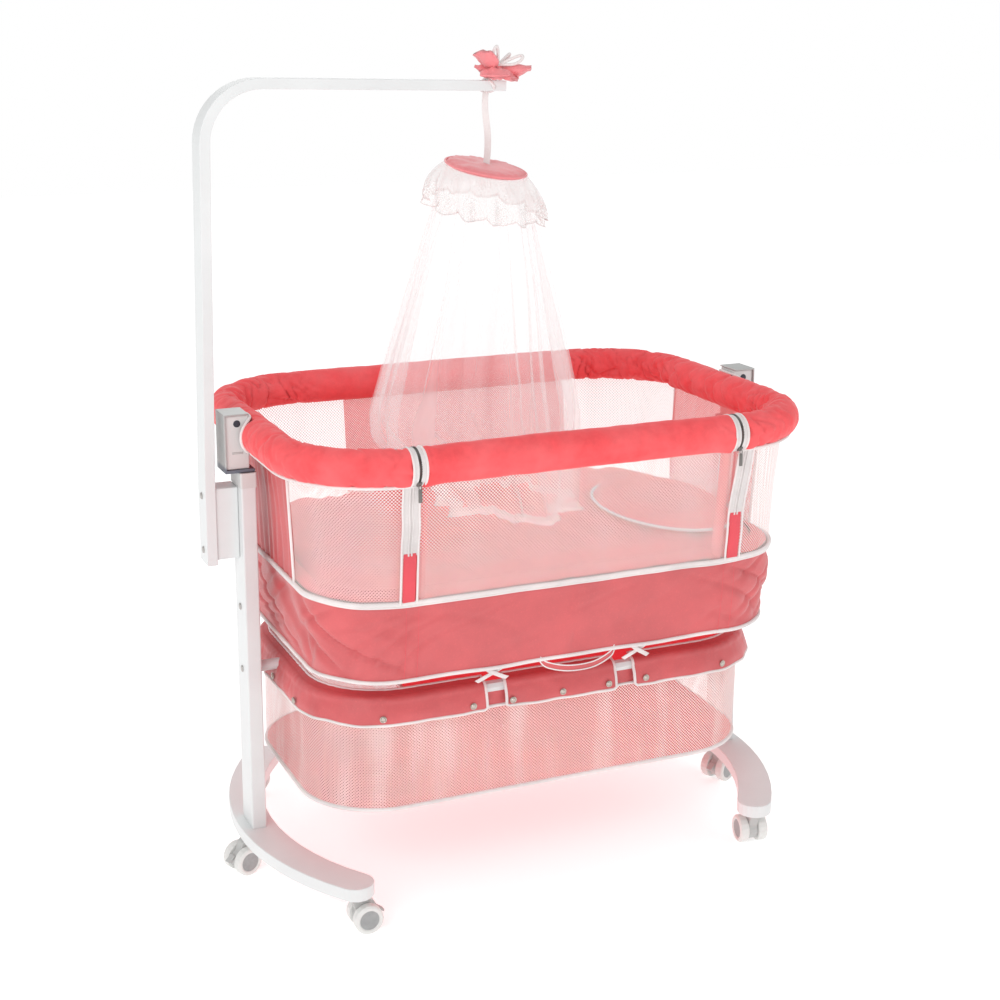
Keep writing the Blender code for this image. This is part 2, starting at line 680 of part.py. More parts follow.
# ---- cradle frame ----
def make_top_frame():
    end = RAIL_HALF_LENGTH + 2 * ZIP_CLEARANCE
    path = at_height(open_ring(RIM_X, RIM_Y, end), RIM_HEIGHT)
    frame = tube("top_frame", path, RIM_TUBE_RADIUS, WHITE_TUBE)
    stub_end = HOUSING_OUTER_X - BRACKET_SHEET - STUB_END_PLAY
    for side in SIDES.values():
        stub = rod("stub", (RIM_X * side, 0, RIM_HEIGHT), (stub_end * side, 0, RIM_HEIGHT),
                   STUB_RADIUS, sides=SIDES_OF_A_BORE, collection=cutters)
        boolean(frame, stub, "UNION")
    set_origin(frame, (0, 0, RIM_HEIGHT))

    start = RAIL_HALF_LENGTH + ZIP_CLEARANCE
    path = at_height(open_ring(RIM_X, RIM_Y, start), RIM_HEIGHT)
    cover = tube("rim_cover", path, RIM_COVER_RADIUS, CORAL_PLUSH, caps=False, resolution=3)
    add_solidify(cover, RIM_COVER_RADIUS - RIM_TUBE_RADIUS - RIM_COVER_PLAY)
    cut_from = RIM_X + COVER_CUT_INTO_STUB
    cut_to = RIM_X + RIM_COVER_RADIUS + PAST
    for side in SIDES.values():
        cut_box(cover, (cut_to - cut_from, COVER_CUT_HALF_WIDTH * 2, RIM_COVER_RADIUS * 3),
                ((cut_from + cut_to) / 2 * side, 0, RIM_HEIGHT))
    set_origin(cover, (0, 0, RIM_HEIGHT))


def leg_direction():
    """Down the legs of the front rail, as a unit vector."""
    return Vector((0, RIM_Y - LEG_Y, -WALL_HEIGHT)).normalized()


def leg_point(side, below):
    """A point on a leg's axis, so far below the rim tube's middle."""
    down = leg_direction()
    return Vector((LEG_X * side, -RIM_Y, RIM_HEIGHT)) + down * (below / -down.z)


def make_front_rail():
    below = WALL_HEIGHT + LEG_BELOW_HEM
    down = leg_direction()
    path = [leg_point(-1, below)]
    bends = (arc(-LEG_X + LEG_BEND, -LEG_BEND, LEG_BEND, 180, 90, 6)
             + arc(LEG_X - LEG_BEND, -LEG_BEND, LEG_BEND, 90, 0, 6))
    for x, drop in bends:
        path.append(Vector((x, -RIM_Y, RIM_HEIGHT)) - down * drop)
    path.append(leg_point(1, below))
    rail = tube("front_rail", path, LEG_RADIUS, WHITE_TUBE)
    set_origin(rail, (0, -RIM_Y, RIM_HEIGHT))

    half = RAIL_HALF_LENGTH - ZIP_CLEARANCE
    points = [(-half, -RIM_Y, RIM_HEIGHT), (0, -RIM_Y, RIM_HEIGHT), (half, -RIM_Y, RIM_HEIGHT)]
    cover = tube("front_rail_cover", points, RIM_COVER_RADIUS, CORAL_PLUSH, caps=False,
                 resolution=3)
    add_solidify(cover, RIM_COVER_RADIUS - RIM_TUBE_RADIUS - RIM_COVER_PLAY)
    slot_start = LEG_X - LEG_BEND - LEG_RADIUS
    slot_end = half + PAST
    slot_depth = RIM_COVER_RADIUS + PAST
    lean = slot_depth * (RIM_Y - LEG_Y) / WALL_HEIGHT
    slot_width = 2 * (LEG_RADIUS + 4 * GAP + lean)
    for side in SIDES.values():
        cut_box(cover, (slot_end - slot_start, slot_width, slot_depth),
                ((slot_start + slot_end) / 2 * side, -RIM_Y, RIM_HEIGHT - slot_depth / 2))
    set_origin(cover, (0, -RIM_Y, RIM_HEIGHT))


def make_tray():
    """The mattress board, with a guide for each leg of the front rail."""
    outline = body_ring(TRAY_X, TRAY_Y)
    centre_z = TRAY_TOP - TRAY_THICKNESS / 2
    tray = plate("tray_board", [outline], TRAY_THICKNESS, BOARD,
                 Matrix.Translation((0, 0, centre_z)))
    low = WALL_HEIGHT + GUIDE_BELOW_HEM
    high = low - GUIDE_HEIGHT
    for side in SIDES.values():
        start, end = leg_point(side, low), leg_point(side, high)
        sleeve = rod("sleeve", start, end, LEG_RADIUS + LEG_PLAY + GUIDE_WALL,
                     sides=SIDES_OF_A_BORE, collection=cutters)
        boolean(tray, sleeve, "UNION")
        depth = LEG_Y - TRAY_Y
        overlap = GUIDE_LUG_OVERLAP
        lug = box("lug", (GUIDE_LUG_WIDTH, depth + 2 * overlap, TRAY_THICKNESS - overlap),
                  (LEG_X * side, overlap - TRAY_Y - depth / 2, centre_z), None,
                  collection=cutters)
        boolean(tray, lug, "UNION")
    for side in SIDES.values():
        drill(tray, leg_point(side, low + PAST), leg_point(side, high - PAST),
              LEG_RADIUS + LEG_PLAY, SIDES_OF_A_BORE)
    set_origin(tray, (0, 0, TRAY_TOP))


# ---- soft body ----
def make_mattress():
    half_x, half_y = TRAY_X - MATTRESS_MARGIN, TRAY_Y - MATTRESS_MARGIN
    outline = body_ring(half_x, half_y)
    centre = Matrix.Translation((0, 0, MATTRESS_TOP - MATTRESS_THICKNESS / 2))
    mattress = plate("mattress", [outline], MATTRESS_THICKNESS - 2 * GAP, CORAL_QUILT, centre,
                     MATTRESS_ROUNDING)
    smooth(mattress, 50)

    mesh = bpy.data.meshes.new("pillow")
    cage = bmesh.new()
    bmesh.ops.create_uvsphere(cage, u_segments=24, v_segments=10, radius=0.5)
    size = (PILLOW_WIDTH, PILLOW_LENGTH, PILLOW_THICKNESS)
    bmesh.ops.transform(cage, matrix=Matrix.Diagonal((*size, 1.0)), verts=cage.verts)
    cage.to_mesh(mesh)
    cage.free()
    pillow = link("pillow", mesh, CORAL_QUILT)
    pillow.location = (half_x - PILLOW_TO_EDGE - PILLOW_WIDTH / 2, -PILLOW_FORWARD,
                       MATTRESS_TOP + PILLOW_THICKNESS / 2 + 2 * GAP)
    smooth(pillow)


def make_walls():
    start = RAIL_HALF_LENGTH + 2 * ZIP_CLEARANCE
    low = at_height(open_ring(HEM_X, HEM_Y, start), HEM_Z + GAP)
    high = at_height(open_ring(WALL_TOP_X, WALL_TOP_Y, start), WALL_TOP_Z)
    middle = [tuple((a + b) / 2 for a, b in zip(p, q)) for p, q in zip(low, high)]
    wall = loft("wall_fabric", [low, middle, high], WHITE_MESH, closed=False)
    fit_under_cover(wall)

    half = RAIL_HALF_LENGTH - ZIP_CLEARANCE
    low = [(x, -HEM_Y, HEM_Z + GAP) for x in (-half, 0, half)]
    high = [(x, -WALL_TOP_Y, WALL_TOP_Z) for x in (-half, 0, half)]
    panel = loft("front_panel", [low, high], WHITE_MESH, closed=False)
    fit_under_cover(panel)


def fit_under_cover(wall):
    """Trims a wall's top edge to the round underside of the rim's padding."""
    path = at_height(body_ring(RIM_X, RIM_Y), RIM_HEIGHT)
    roll = tube(wall.name + "_roll", path, RIM_COVER_RADIUS + 2 * GAP, None, cyclic=True,
                resolution=3)
    crib.objects.unlink(roll)
    cutters.objects.link(roll)
    boolean(wall, roll)


def make_skirt():
    bottom = body_ring(HEM_X - SKIRT_TAPER_X, HEM_Y - SKIRT_TAPER_Y)
    top = body_ring(HEM_X, HEM_Y)
    loft("skirt", [at_height(bottom, SKIRT_BOTTOM_Z), at_height(top, HEM_Z - GAP)],
         CORAL_SATIN, closed=True)


# ---- lower frame, flaps and basket ----
def make_lower_frame():
    path = at_height(rounded_rectangle(FRAME_X, FRAME_Y, FRAME_CORNER), FRAME_Z)
    frame = tube("lower_frame", path, FRAME_RADIUS, WHITE_TUBE, cyclic=True)
    for side in SIDES.values():
        end = (POST_INNER_X - GAP) * side
        stub = rod("lower_stub", (FRAME_X * side, 0, FRAME_Z), (end, 0, FRAME_Z),
                   FRAME_STUB_RADIUS, sides=SIDES_OF_A_BORE, collection=cutters)
        boolean(frame, stub, "UNION")
    for side in SIDES.values():
        deep = POST_INNER_X - FRAME_BOLT_DEPTH - FRAME_BOLT_END_PLAY
        drill(frame, (deep * side, 0, FRAME_Z), ((POST_INNER_X + PAST) * side, 0, FRAME_Z),
              BOLT_RADIUS + BOLT_PLAY)


def flap_ring(extra, height):
    return at_height(rounded_rectangle(FLAP_TOP_X + extra, FLAP_TOP_Y + extra,
                                       FRAME_CORNER + extra), height)


def make_flaps():
    """End flaps wrap the frame's round ends; middle flaps hang on its straight sides."""
    top, bottom = FRAME_Z + FLAP_ABOVE, FRAME_Z - FLAP_BELOW
    corner = 2 * (CORNER_STEPS + 1)
    for name, side in SIDES.items():
        rings = []
        for extra, height in ((FLAP_FLARE, bottom), (0, top)):
            ring = flap_ring(extra, height)
            arcs = ring[:corner] if side > 0 else ring[corner:]
            inner = (FLAP_SPLIT_X + FLAP_OPENING / 2) * side
            front, back = arcs[0 if side > 0 else -1], arcs[-1 if side > 0 else 0]
            ends = [(inner, front[1], height), (inner, back[1], height)]
            ordered = [ends[0]] + arcs + [ends[1]] if side > 0 else [ends[1]] + arcs + [ends[0]]
            rings.append(ordered)
        flap = loft("flap_" + name, rings, CORAL_SATIN, closed=False)
        drill(flap, (FRAME_X * side, 0, FRAME_Z), (POST_INNER_X * side, 0, FRAME_Z),
              FRAME_RADIUS + 4 * GAP, SIDES_OF_A_BORE)
    half = FLAP_SPLIT_X - FLAP_OPENING / 2
    for name, turn in (("front", 0), ("back", 180)):
        rows = []
        for extra, height in ((FLAP_FLARE, bottom), (0, top)):
            rows.append([(x, -FLAP_TOP_Y - extra, height) for x in (-half, 0, half)])
        flap = loft("flap_" + name, rows, CORAL_SATIN, closed=False)
        flap.rotation_euler.z = math.radians(turn)


def make_basket():
    bottom = rounded_rectangle(FRAME_X, FRAME_Y - BASKET_TAPER, FRAME_CORNER)
    top = rounded_rectangle(FRAME_X, FRAME_Y, FRAME_CORNER)
    loft("basket", [at_height(bottom, BASKET_BOTTOM_Z), at_height(top, BASKET_TOP_Z)],
         WHITE_MESH, closed=True, floor=True, thickness=BASKET_WALL)


# ---- net pole ----
def bolt_heights():
    return (SPACER_BOTTOM + BOLT_INSET, SPACER_TOP - BOLT_INSET)


def pole_centre_line():
    """(x, z, heading) down the middle of the bar, from its foot to the arm's end."""
    x, z, heading = -POLE_X, SPACER_BOTTOM - POLE_BELOW_SPACER, 90.0
    line = [(x, z, heading), (x, SPACER_TOP, heading)]
    heading -= POLE_LEAN
    lean = math.radians(POLE_LEAN)
    bend_z = POLE_TOP - POLE_THICKNESS / 2 - POLE_BEND * math.cos(lean)
    straight = (bend_z - SPACER_TOP) / math.cos(lean)
    x += straight * math.sin(lean)
    centre = (x + POLE_BEND * math.cos(lean), bend_z - POLE_BEND * math.sin(lean))
    for step in range(13):
        turn = 90.0 * step / 12
        angle = math.radians(180 - POLE_LEAN - turn)
        line.append((centre[0] + POLE_BEND * math.cos(angle),
                     centre[1] + POLE_BEND * math.sin(angle), heading - turn))
    last_x, last_z, last_heading = line[-1]
    run = (POLE_ARM_END_X - last_x) / math.cos(math.radians(last_heading))
    drop = run * math.sin(math.radians(last_heading))
    line.append((POLE_ARM_END_X, last_z + drop, last_heading))
    return line


def make_net_pole():
    left, right = [], []
    half = POLE_THICKNESS / 2
    for x, z, heading in pole_centre_line():
        normal = math.radians(heading + 90)
        offset = (half * math.cos(normal), half * math.sin(normal))
        left.append((x + offset[0], z + offset[1]))
        right.append((x - offset[0], z - offset[1]))
    outline = left + list(reversed(right))
    pole = plate("net_pole", [outline], POLE_WIDTH, WHITE_LACQUER,
                 Matrix.Translation((0, POLE_Y, 0)) @ FACING_FRONT, POLE_ROUNDING)
    smooth(pole, 50)

    outer, inner = POLE_INNER_X - GAP, POST_OUTER_X + GAP
    spacer = box("pole_spacer", (outer - inner, SPACER_WIDTH, SPACER_HEIGHT),
                 (-(outer + inner) / 2, POLE_Y, (SPACER_TOP + SPACER_BOTTOM) / 2),
                 WHITE_LACQUER, SPACER_EDGE)
    face = -POLE_INNER_X - POLE_THICKNESS
    hole = BOLT_RADIUS + BOLT_PLAY
    depth = POLE_THICKNESS + SPACER_LENGTH + POST_WALL
    for name, height in zip(("lower", "upper"), bolt_heights()):
        for piece in (pole, spacer):
            drill(piece, (face - PAST, POLE_Y, height), (-POST_OUTER_X + PAST, POLE_Y, height),
                  hole)
        make_screw("pole_bolt_" + name, (face, POLE_Y, height), -1, depth)


# ---- mosquito net ----
def arm_height(x):
    """Height of the middle of the arm above x."""
    end_x, end_z, heading = pole_centre_line()[-1]
    return end_z - (end_x - x) * math.tan(math.radians(heading))


def make_net():
    tilt = math.radians(CROWN_TILT)
    crown = turned("net_crown", [(0.0, CROWN_THICKNESS / 2),
                                 (CROWN_RADIUS * CROWN_FACE, CROWN_THICKNESS / 2),
                                 (CROWN_RADIUS, 0.0),
                                 (CROWN_RADIUS * CROWN_FACE, -CROWN_THICKNESS / 2),
                                 (0.0, -CROWN_THICKNESS / 2)],
                   CORAL_SATIN, NET_SIDES, (NET_X, POLE_Y, CROWN_HEIGHT), (0, tilt, 0))
    smooth(crown, 20)

    low = CROWN_HEIGHT + CROWN_THICKNESS / 2 + GAP
    high = arm_height(NET_X) - POLE_THICKNESS / 2 / math.cos(math.radians(POLE_LEAN)) - 3 * GAP
    box("net_strap", (STRAP_THICKNESS, STRAP_WIDTH, high - low),
        (NET_X, POLE_Y, (low + high) / 2), WHITE_LACE)

    outside = [(CROWN_RADIUS + LACE_TO_CROWN, LACE_TO_CROWN),
               (CROWN_RADIUS + LACE_SHOULDER, -LACE_SHOULDER_DROP),
               (LACE_FLARE, -LACE_DROP)]
    inside = [(radius - LACE_THICKNESS, height) for radius, height in reversed(outside)]
    lace = turned("net_lace", outside + inside + outside[:1], WHITE_LACE, NET_SIDES,
                  (NET_X, POLE_Y, CROWN_HEIGHT), (0, tilt, 0))
    smooth(lace, 50)

    top = CROWN_HEIGHT - CROWN_THICKNESS / 2 - CROWN_RADIUS * math.sin(tilt) - NET_BELOW_CROWN
    outside = [(NET_TOP_RADIUS, top), (NET_TOP_RADIUS + NET_UNDER_LACE, top - LACE_DROP),
               (NET_RIM_RADIUS, RIM_HEIGHT), (NET_HEM_RADIUS, NET_HEM_Z)]
    inside = [(radius - NET_THICKNESS, height) for radius, height in reversed(outside)]
    drape = turned("net_drape", outside + inside + outside[:1], WHITE_LACE, NET_SIDES,
                   (NET_X, POLE_Y, 0))
    smooth(drape, 50)


def make_bow():
    """A cloth bow over the end of the arm: a soft solid, open below where the arm enters."""
    centre = Vector((POLE_ARM_END_X - BOW_BEFORE_END, POLE_Y, arm_height(POLE_ARM_END_X)))
    mesh = bpy.data.meshes.new("pole_bow")
    cage = bmesh.new()
    bmesh.ops.create_uvsphere(cage, u_segments=20, v_segments=10, radius=0.5)
    size = (BOW_LENGTH, BOW_WIDTH, BOW_HEIGHT)
    bmesh.ops.transform(cage, matrix=Matrix.Diagonal((*size, 1.0)), verts=cage.verts)
    cage.to_mesh(mesh)
    cage.free()
    bow = link("pole_bow", mesh, CORAL_SATIN)
    bow.location = centre
    slot_end = BOW_BEFORE_END + 2 * GAP
    slot_top = POLE_THICKNESS / 2 + BOW_ABOVE_ARM
    cut_box(bow, (BOW_LENGTH, POLE_WIDTH + 4 * GAP, BOW_HEIGHT),
            centre + Vector((slot_end - BOW_LENGTH / 2, 0, slot_top - BOW_HEIGHT / 2)))
    smooth(bow)


make_casters()
for side_name, side_sign in SIDES.items():
    make_foot(side_name, side_sign)
    make_post(side_name, side_sign)
    make_bracket(side_name, side_sign)
make_top_frame()
make_front_rail()
make_tray()
make_mattress()
make_walls()
make_skirt()
make_lower_frame()
make_flaps()
make_basket()
make_net_pole()
make_net()
make_bow()
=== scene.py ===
"""Looks of the baby crib: plush rim, net walls, satin skirt and flaps, net basket, padded
mattress and pillow, tulle canopy with its lace, crown and bow, zips, piping, ribbons,
snaps, and the finish of every hard part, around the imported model.

Metres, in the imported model's frame. Shapes are built about the midplane between the two
posts ("crib" coordinates) and moved to it by place().
"""

import json
import math

import bmesh
import bpy
from mathutils import Matrix, Vector, noise


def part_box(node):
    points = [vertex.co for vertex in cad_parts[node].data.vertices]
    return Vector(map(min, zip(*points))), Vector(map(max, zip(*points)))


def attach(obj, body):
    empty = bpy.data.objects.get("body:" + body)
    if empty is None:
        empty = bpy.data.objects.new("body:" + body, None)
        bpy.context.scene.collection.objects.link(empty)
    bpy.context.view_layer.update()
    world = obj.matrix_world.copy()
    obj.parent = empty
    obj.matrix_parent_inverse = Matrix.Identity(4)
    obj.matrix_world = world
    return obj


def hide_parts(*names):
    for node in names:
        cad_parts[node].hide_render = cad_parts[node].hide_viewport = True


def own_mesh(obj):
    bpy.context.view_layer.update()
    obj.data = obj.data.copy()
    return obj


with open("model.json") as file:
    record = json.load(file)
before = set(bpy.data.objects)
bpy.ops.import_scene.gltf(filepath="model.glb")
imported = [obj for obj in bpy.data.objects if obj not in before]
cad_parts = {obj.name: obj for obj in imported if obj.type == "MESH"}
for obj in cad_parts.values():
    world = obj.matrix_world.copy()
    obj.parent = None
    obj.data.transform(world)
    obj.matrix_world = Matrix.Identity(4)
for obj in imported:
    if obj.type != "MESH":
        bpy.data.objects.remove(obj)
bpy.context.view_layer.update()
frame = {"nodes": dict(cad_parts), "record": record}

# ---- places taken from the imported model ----
post_low, post_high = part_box("post_right")
left_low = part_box("post_left")[0]
skirt_low, skirt_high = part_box("skirt")
basket_low, basket_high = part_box("basket")
pole_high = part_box("net_pole")[1]
mattress_low, mattress_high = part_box("mattress")
pillow_low, pillow_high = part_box("pillow")
crown_low, crown_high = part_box("net_crown")
bow_low, bow_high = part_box("pole_bow")
strap_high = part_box("net_strap")[1]
MID_X = (post_high[0] + left_low[0]) / 2
POST_IN = post_low[0] - MID_X            # midplane to each post's inner face
RIM_X = POST_IN - 0.007                  # middles of the rim tube's runs
RIM_Y = skirt_high[1] + 0.010
RIM_Z = post_high[2] + 0.095
HEM_X = skirt_high[0] - MID_X
HEM_Y = skirt_high[1]
HEM_Z = skirt_high[2]
SKIRT_Z = skirt_low[2] + 0.008
FRAME_X = basket_high[0] - MID_X         # lower frame tube's middle
FRAME_Y = basket_high[1]
FRAME_Z = basket_high[2] + 0.0113
BASKET_Z = basket_low[2]
MATTRESS_TOP = mattress_high[2]
NET_X = (crown_low[0] + crown_high[0]) / 2 - MID_X
NET_Y = (crown_low[1] + crown_high[1]) / 2
CROWN_Z = (crown_low[2] + crown_high[2]) / 2

# ---- sizes ----
RIM_R = 0.0335               # plush roll
ZIP_X = 0.310                # midplane to each zip line
CORNER_X = 0.316             # where every rounded corner begins
WALL_TOP_X = POST_IN - 0.019
WALL_TOP_Y = RIM_Y + 0.012
WALL_TOP_Z = RIM_Z - 0.028
SKIRT_IN_X = 0.011           # how far the skirt's edge draws in
SKIRT_IN_Y = 0.017
FRAME_R = 0.011
FRAME_CORNER = 0.150
FLAP_SPLIT = 0.130           # midplane to the middle of each gap between flaps
FLAP_GAP = 0.035
FLAP_DROP = 0.036            # how far a flap hangs below the frame tube's middle
BOW_AROUND = 40              # points round each fold of the bow
STRAP_WIDTH = 0.0125
CROWN_EDGE_R = 0.0775
ZIP_START, ZIP_END = -100, 215   # degrees round the roll, from its underside
QUILT_PITCH = 0.105
SLEEVE_R = 0.0102
CAMERA_LENS = 61.2           # millimetres
CAMERA_SHIFT = -0.10
CAMERA_YAW, CAMERA_PITCH = -23.52, -12.23
CAMERA_PLACE = (-1.280, -2.9386, 1.5669)   # from the midplane
LAMPS = (("key", 1.8, 36, (-2.6, -2.4, 2.3), (-0.1, 0, 0.7)),
         ("fill", 2.6, 12, (2.8, -2.2, 1.8), (0, 0, 0.6)),
         ("back", 2.4, 14, (0.6, 3.0, 2.6), (0, 0, 0.8)))
COVER_CUT = 0.041            # half the opening in the roll at each bracket
PIPING_R = 0.0030
PITCH = 0.0055               # spacing of points along a ring


# ---- materials ----
class Nodes:
    """Short forms for building a node tree round a Principled shader."""

    def __init__(self, name):
        self.material = bpy.data.materials.new(name)
        self.material.use_nodes = True
        self.tree = self.material.node_tree
        self.shader = self.tree.nodes["Principled BSDF"]

    def add(self, kind, **values):
        node = self.tree.nodes.new("ShaderNode" + kind)
        for key, value in values.items():
            if hasattr(node, key):
                setattr(node, key, value)
            else:
                node.inputs[key.replace("_", " ")].default_value = value
        return node

    def link(self, source, target):
        self.tree.links.new(source, target)

    def set(self, **values):
        for key, value in values.items():
            self.shader.inputs[key.replace("_", " ")].default_value = value

    def math(self, operation, first, second=0.0, clamp=False):
        node = self.add("Math", operation=operation)
        node.use_clamp = clamp
        for socket, value in zip(node.inputs, (first, second)):
            if hasattr(value, "is_output"):
                self.link(value, socket)
            else:
                socket.default_value = value
        return node.outputs[0]

    def vector(self, operation, first, second):
        node = self.add("VectorMath", operation=operation)
        for socket, value in zip(node.inputs, (first, second)):
            if hasattr(value, "is_output"):
                self.link(value, socket)
            else:
                socket.default_value = value
        return node.outputs["Value" if operation in ("LENGTH", "DISTANCE") else "Vector"]

    def place(self, flat):
        """Cloth coordinates in metres: along and across the sheet, or the object's own."""
        if flat:
            return self.add("UVMap", uv_map="cloth").outputs["UV"]
        return self.add("TexCoord").outputs["Object"]

    def noise(self, place, scale, detail=3.0, rough=0.5):
        node = self.add("TexNoise", Scale=scale, Detail=detail, Roughness=rough)
        self.link(place, node.inputs["Vector"])
        return node.outputs["Fac"]

    def ramp(self, value, low, high, start, end):
        node = self.add("MapRange", From_Min=low, From_Max=high, To_Min=start, To_Max=end)
        self.link(value, node.inputs["Value"])
        return node.outputs["Result"]

    def mix(self, factor, first, second):
        node = self.add("Mix", data_type="RGBA")
        if hasattr(factor, "is_output"):
            self.link(factor, node.inputs["Factor"])
        else:
            node.inputs["Factor"].default_value = factor
        for socket, value in zip((node.inputs[6], node.inputs[7]), (first, second)):
            if hasattr(value, "is_output"):
                self.link(value, socket)
            else:
                socket.default_value = (*value, 1.0)
        return node.outputs[2]

    def glow(self, colour):
        self.shader.inputs["Emission Color"].default_value = (*colour, 1.0)

    def alpha(self, socket):
        self.link(socket, self.shader.inputs["Alpha"])

    def colour(self, socket):
        self.link(socket, self.shader.inputs["Base Color"])

    def bump(self, height, strength, distance):
        node = self.add("Bump", Strength=strength, Distance=distance)
        self.link(height, node.inputs["Height"])
        self.link(node.outputs["Normal"], self.shader.inputs["Normal"])

    def rough(self, value, low, high):
        self.link(self.ramp(value, 0.3, 0.7, low, high), self.shader.inputs["Roughness"])


def shade(colour, factor):
    return tuple(min(1.0, channel * factor) for channel in colour)


def plush_material(name, colour):
    """Short pile: fine directional nap, soft lighter and pinker patches of painted sheen, and the
    shader's own sheen.
    """
    n = Nodes(name)
    place = n.place(False)
    pile = n.noise(place, 900, 2)
    nap = n.noise(place, 45, 4, 0.6)
    patch = n.noise(place, 14, 3)
    light, dark = shade(colour, 1.10), shade(colour, 0.90)
    tone = n.mix(n.ramp(nap, 0.35, 0.68, 0, 1), dark, light)
    # painted sheen: soft patches mixed towards a lighter, pinker coral stand in for highlights on
    # the pile
    tone = n.mix(n.ramp(patch, 0.40, 0.75, 0, 0.35), tone, (1.0, 0.26, 0.27))
    n.colour(n.mix(n.ramp(pile, 0.3, 0.75, 0, 0.15), tone, shade(colour, 0.62)))
    n.rough(nap, 0.78, 0.95)
    n.bump(n.math("ADD", n.math("MULTIPLY", pile, 0.5), nap), 0.35, 0.0012)
    n.set(Sheen_Weight=0.38, Sheen_Roughness=0.35, Sheen_Tint=(1.0, 0.62, 0.62, 1.0),
          Specular_IOR_Level=0.2)
    return n.material


def weave_material(name, colour, pitch, roughness, sheen, bump=0.25, spec=0.35):
    """Plain woven cloth with warp and weft threads at the given pitch, in metres."""
    n = Nodes(name)
    place = n.place(False)
    turns = math.tau / pitch
    split = n.add("SeparateXYZ")
    n.link(place, split.inputs[0])
    run = n.math("ADD", split.outputs[0], split.outputs[1])
    warp = n.math("SINE", n.math("MULTIPLY", run, turns))
    weft = n.math("SINE", n.math("MULTIPLY", split.outputs[2], turns))
    threads = n.math("MULTIPLY", warp, weft)
    wear = n.noise(place, 9, 4, 0.55)
    fleck = n.noise(place, 260, 3)
    tone = n.mix(n.ramp(wear, 0.35, 0.7, 0, 1), shade(colour, 0.90), shade(colour, 1.10))
    tone = n.mix(n.ramp(threads, -1, 1, 0, 0.22), tone, shade(colour, 0.62))
    n.colour(n.mix(n.ramp(fleck, 0.55, 0.8, 0, 0.25), tone, shade(colour, 1.35)))
    n.rough(wear, roughness - 0.08, roughness + 0.08)
    n.bump(n.math("ADD", threads, n.math("MULTIPLY", fleck, 0.8)), bump, 0.0003)
    n.set(Sheen_Weight=sheen, Sheen_Roughness=0.4, Specular_IOR_Level=spec)
    return n.material


def net_material(name, colour, pitch, hole, streak=0.1, roughness=0.75):
    """Knitted net: offset rows of small round holes, open to what is behind."""
    n = Nodes(name)
    place = n.place(True)
    step = (pitch, pitch * 1.04)

    def from_hole(shift):
        wrap = n.add("VectorMath", operation="WRAP")
        n.link(n.vector("ADD", place, shift), wrap.inputs[0])
        wrap.inputs[1].default_value = (step[0] / 2, step[1] / 2, 1.0)
        wrap.inputs[2].default_value = (-step[0] / 2, -step[1] / 2, -1.0)
        flat = n.vector("MULTIPLY", wrap.outputs["Vector"], (1.0, 1.15, 0.0))
        return n.vector("LENGTH", flat, (0, 0, 0))

    near = n.math("MINIMUM", from_hole((0, 0, 0)), from_hole((step[0] / 2, step[1] / 2, 0)))
    bands = n.noise(n.vector("MULTIPLY", place, (16.0, 2.0, 1.0)), 1.0, 2, 0.6)
    near = n.math("MULTIPLY", near, n.ramp(bands, 0.50, 0.72, 1.0, 1.0 + streak))
    solid = n.ramp(near, pitch * (hole - 0.02), pitch * (hole + 0.02), 0.0, 1.0)
    n.alpha(solid)
    wear = n.noise(place, 60, 3)
    n.colour(n.mix(n.ramp(wear, 0.3, 0.7, 0, 1), shade(colour, 0.94), shade(colour, 1.03)))
    n.rough(wear, roughness - 0.1, roughness + 0.1)
    # painted light: a faint glow in the net's own colour stands in for light coming through the
    # thin net
    n.set(Sheen_Weight=0.2, Specular_IOR_Level=0.3, Emission_Strength=0.06)
    n.glow(colour)
    return n.material


def tulle_material(name, colour, cover):
    """Sheer net too fine to draw thread by thread: an even veil, a little denser in soft
    lengthwise bands where the threads lie closer."""
    n = Nodes(name)
    place = n.place(True)
    bands = n.noise(n.vector("MULTIPLY", place, (22.0, 1.2, 1.0)), 1.0, 2)
    n.alpha(n.ramp(bands, 0.3, 0.7, cover * 0.82, cover * 1.2))
    n.colour(n.mix(bands, shade(colour, 0.98), colour))
    # painted light: a faint glow in the tulle's own colour stands in for light coming through the
    # sheer veil
    n.set(Roughness=0.7, Sheen_Weight=0.3, Specular_IOR_Level=0.25, Emission_Strength=0.08)
    n.glow(colour)
    return n.material


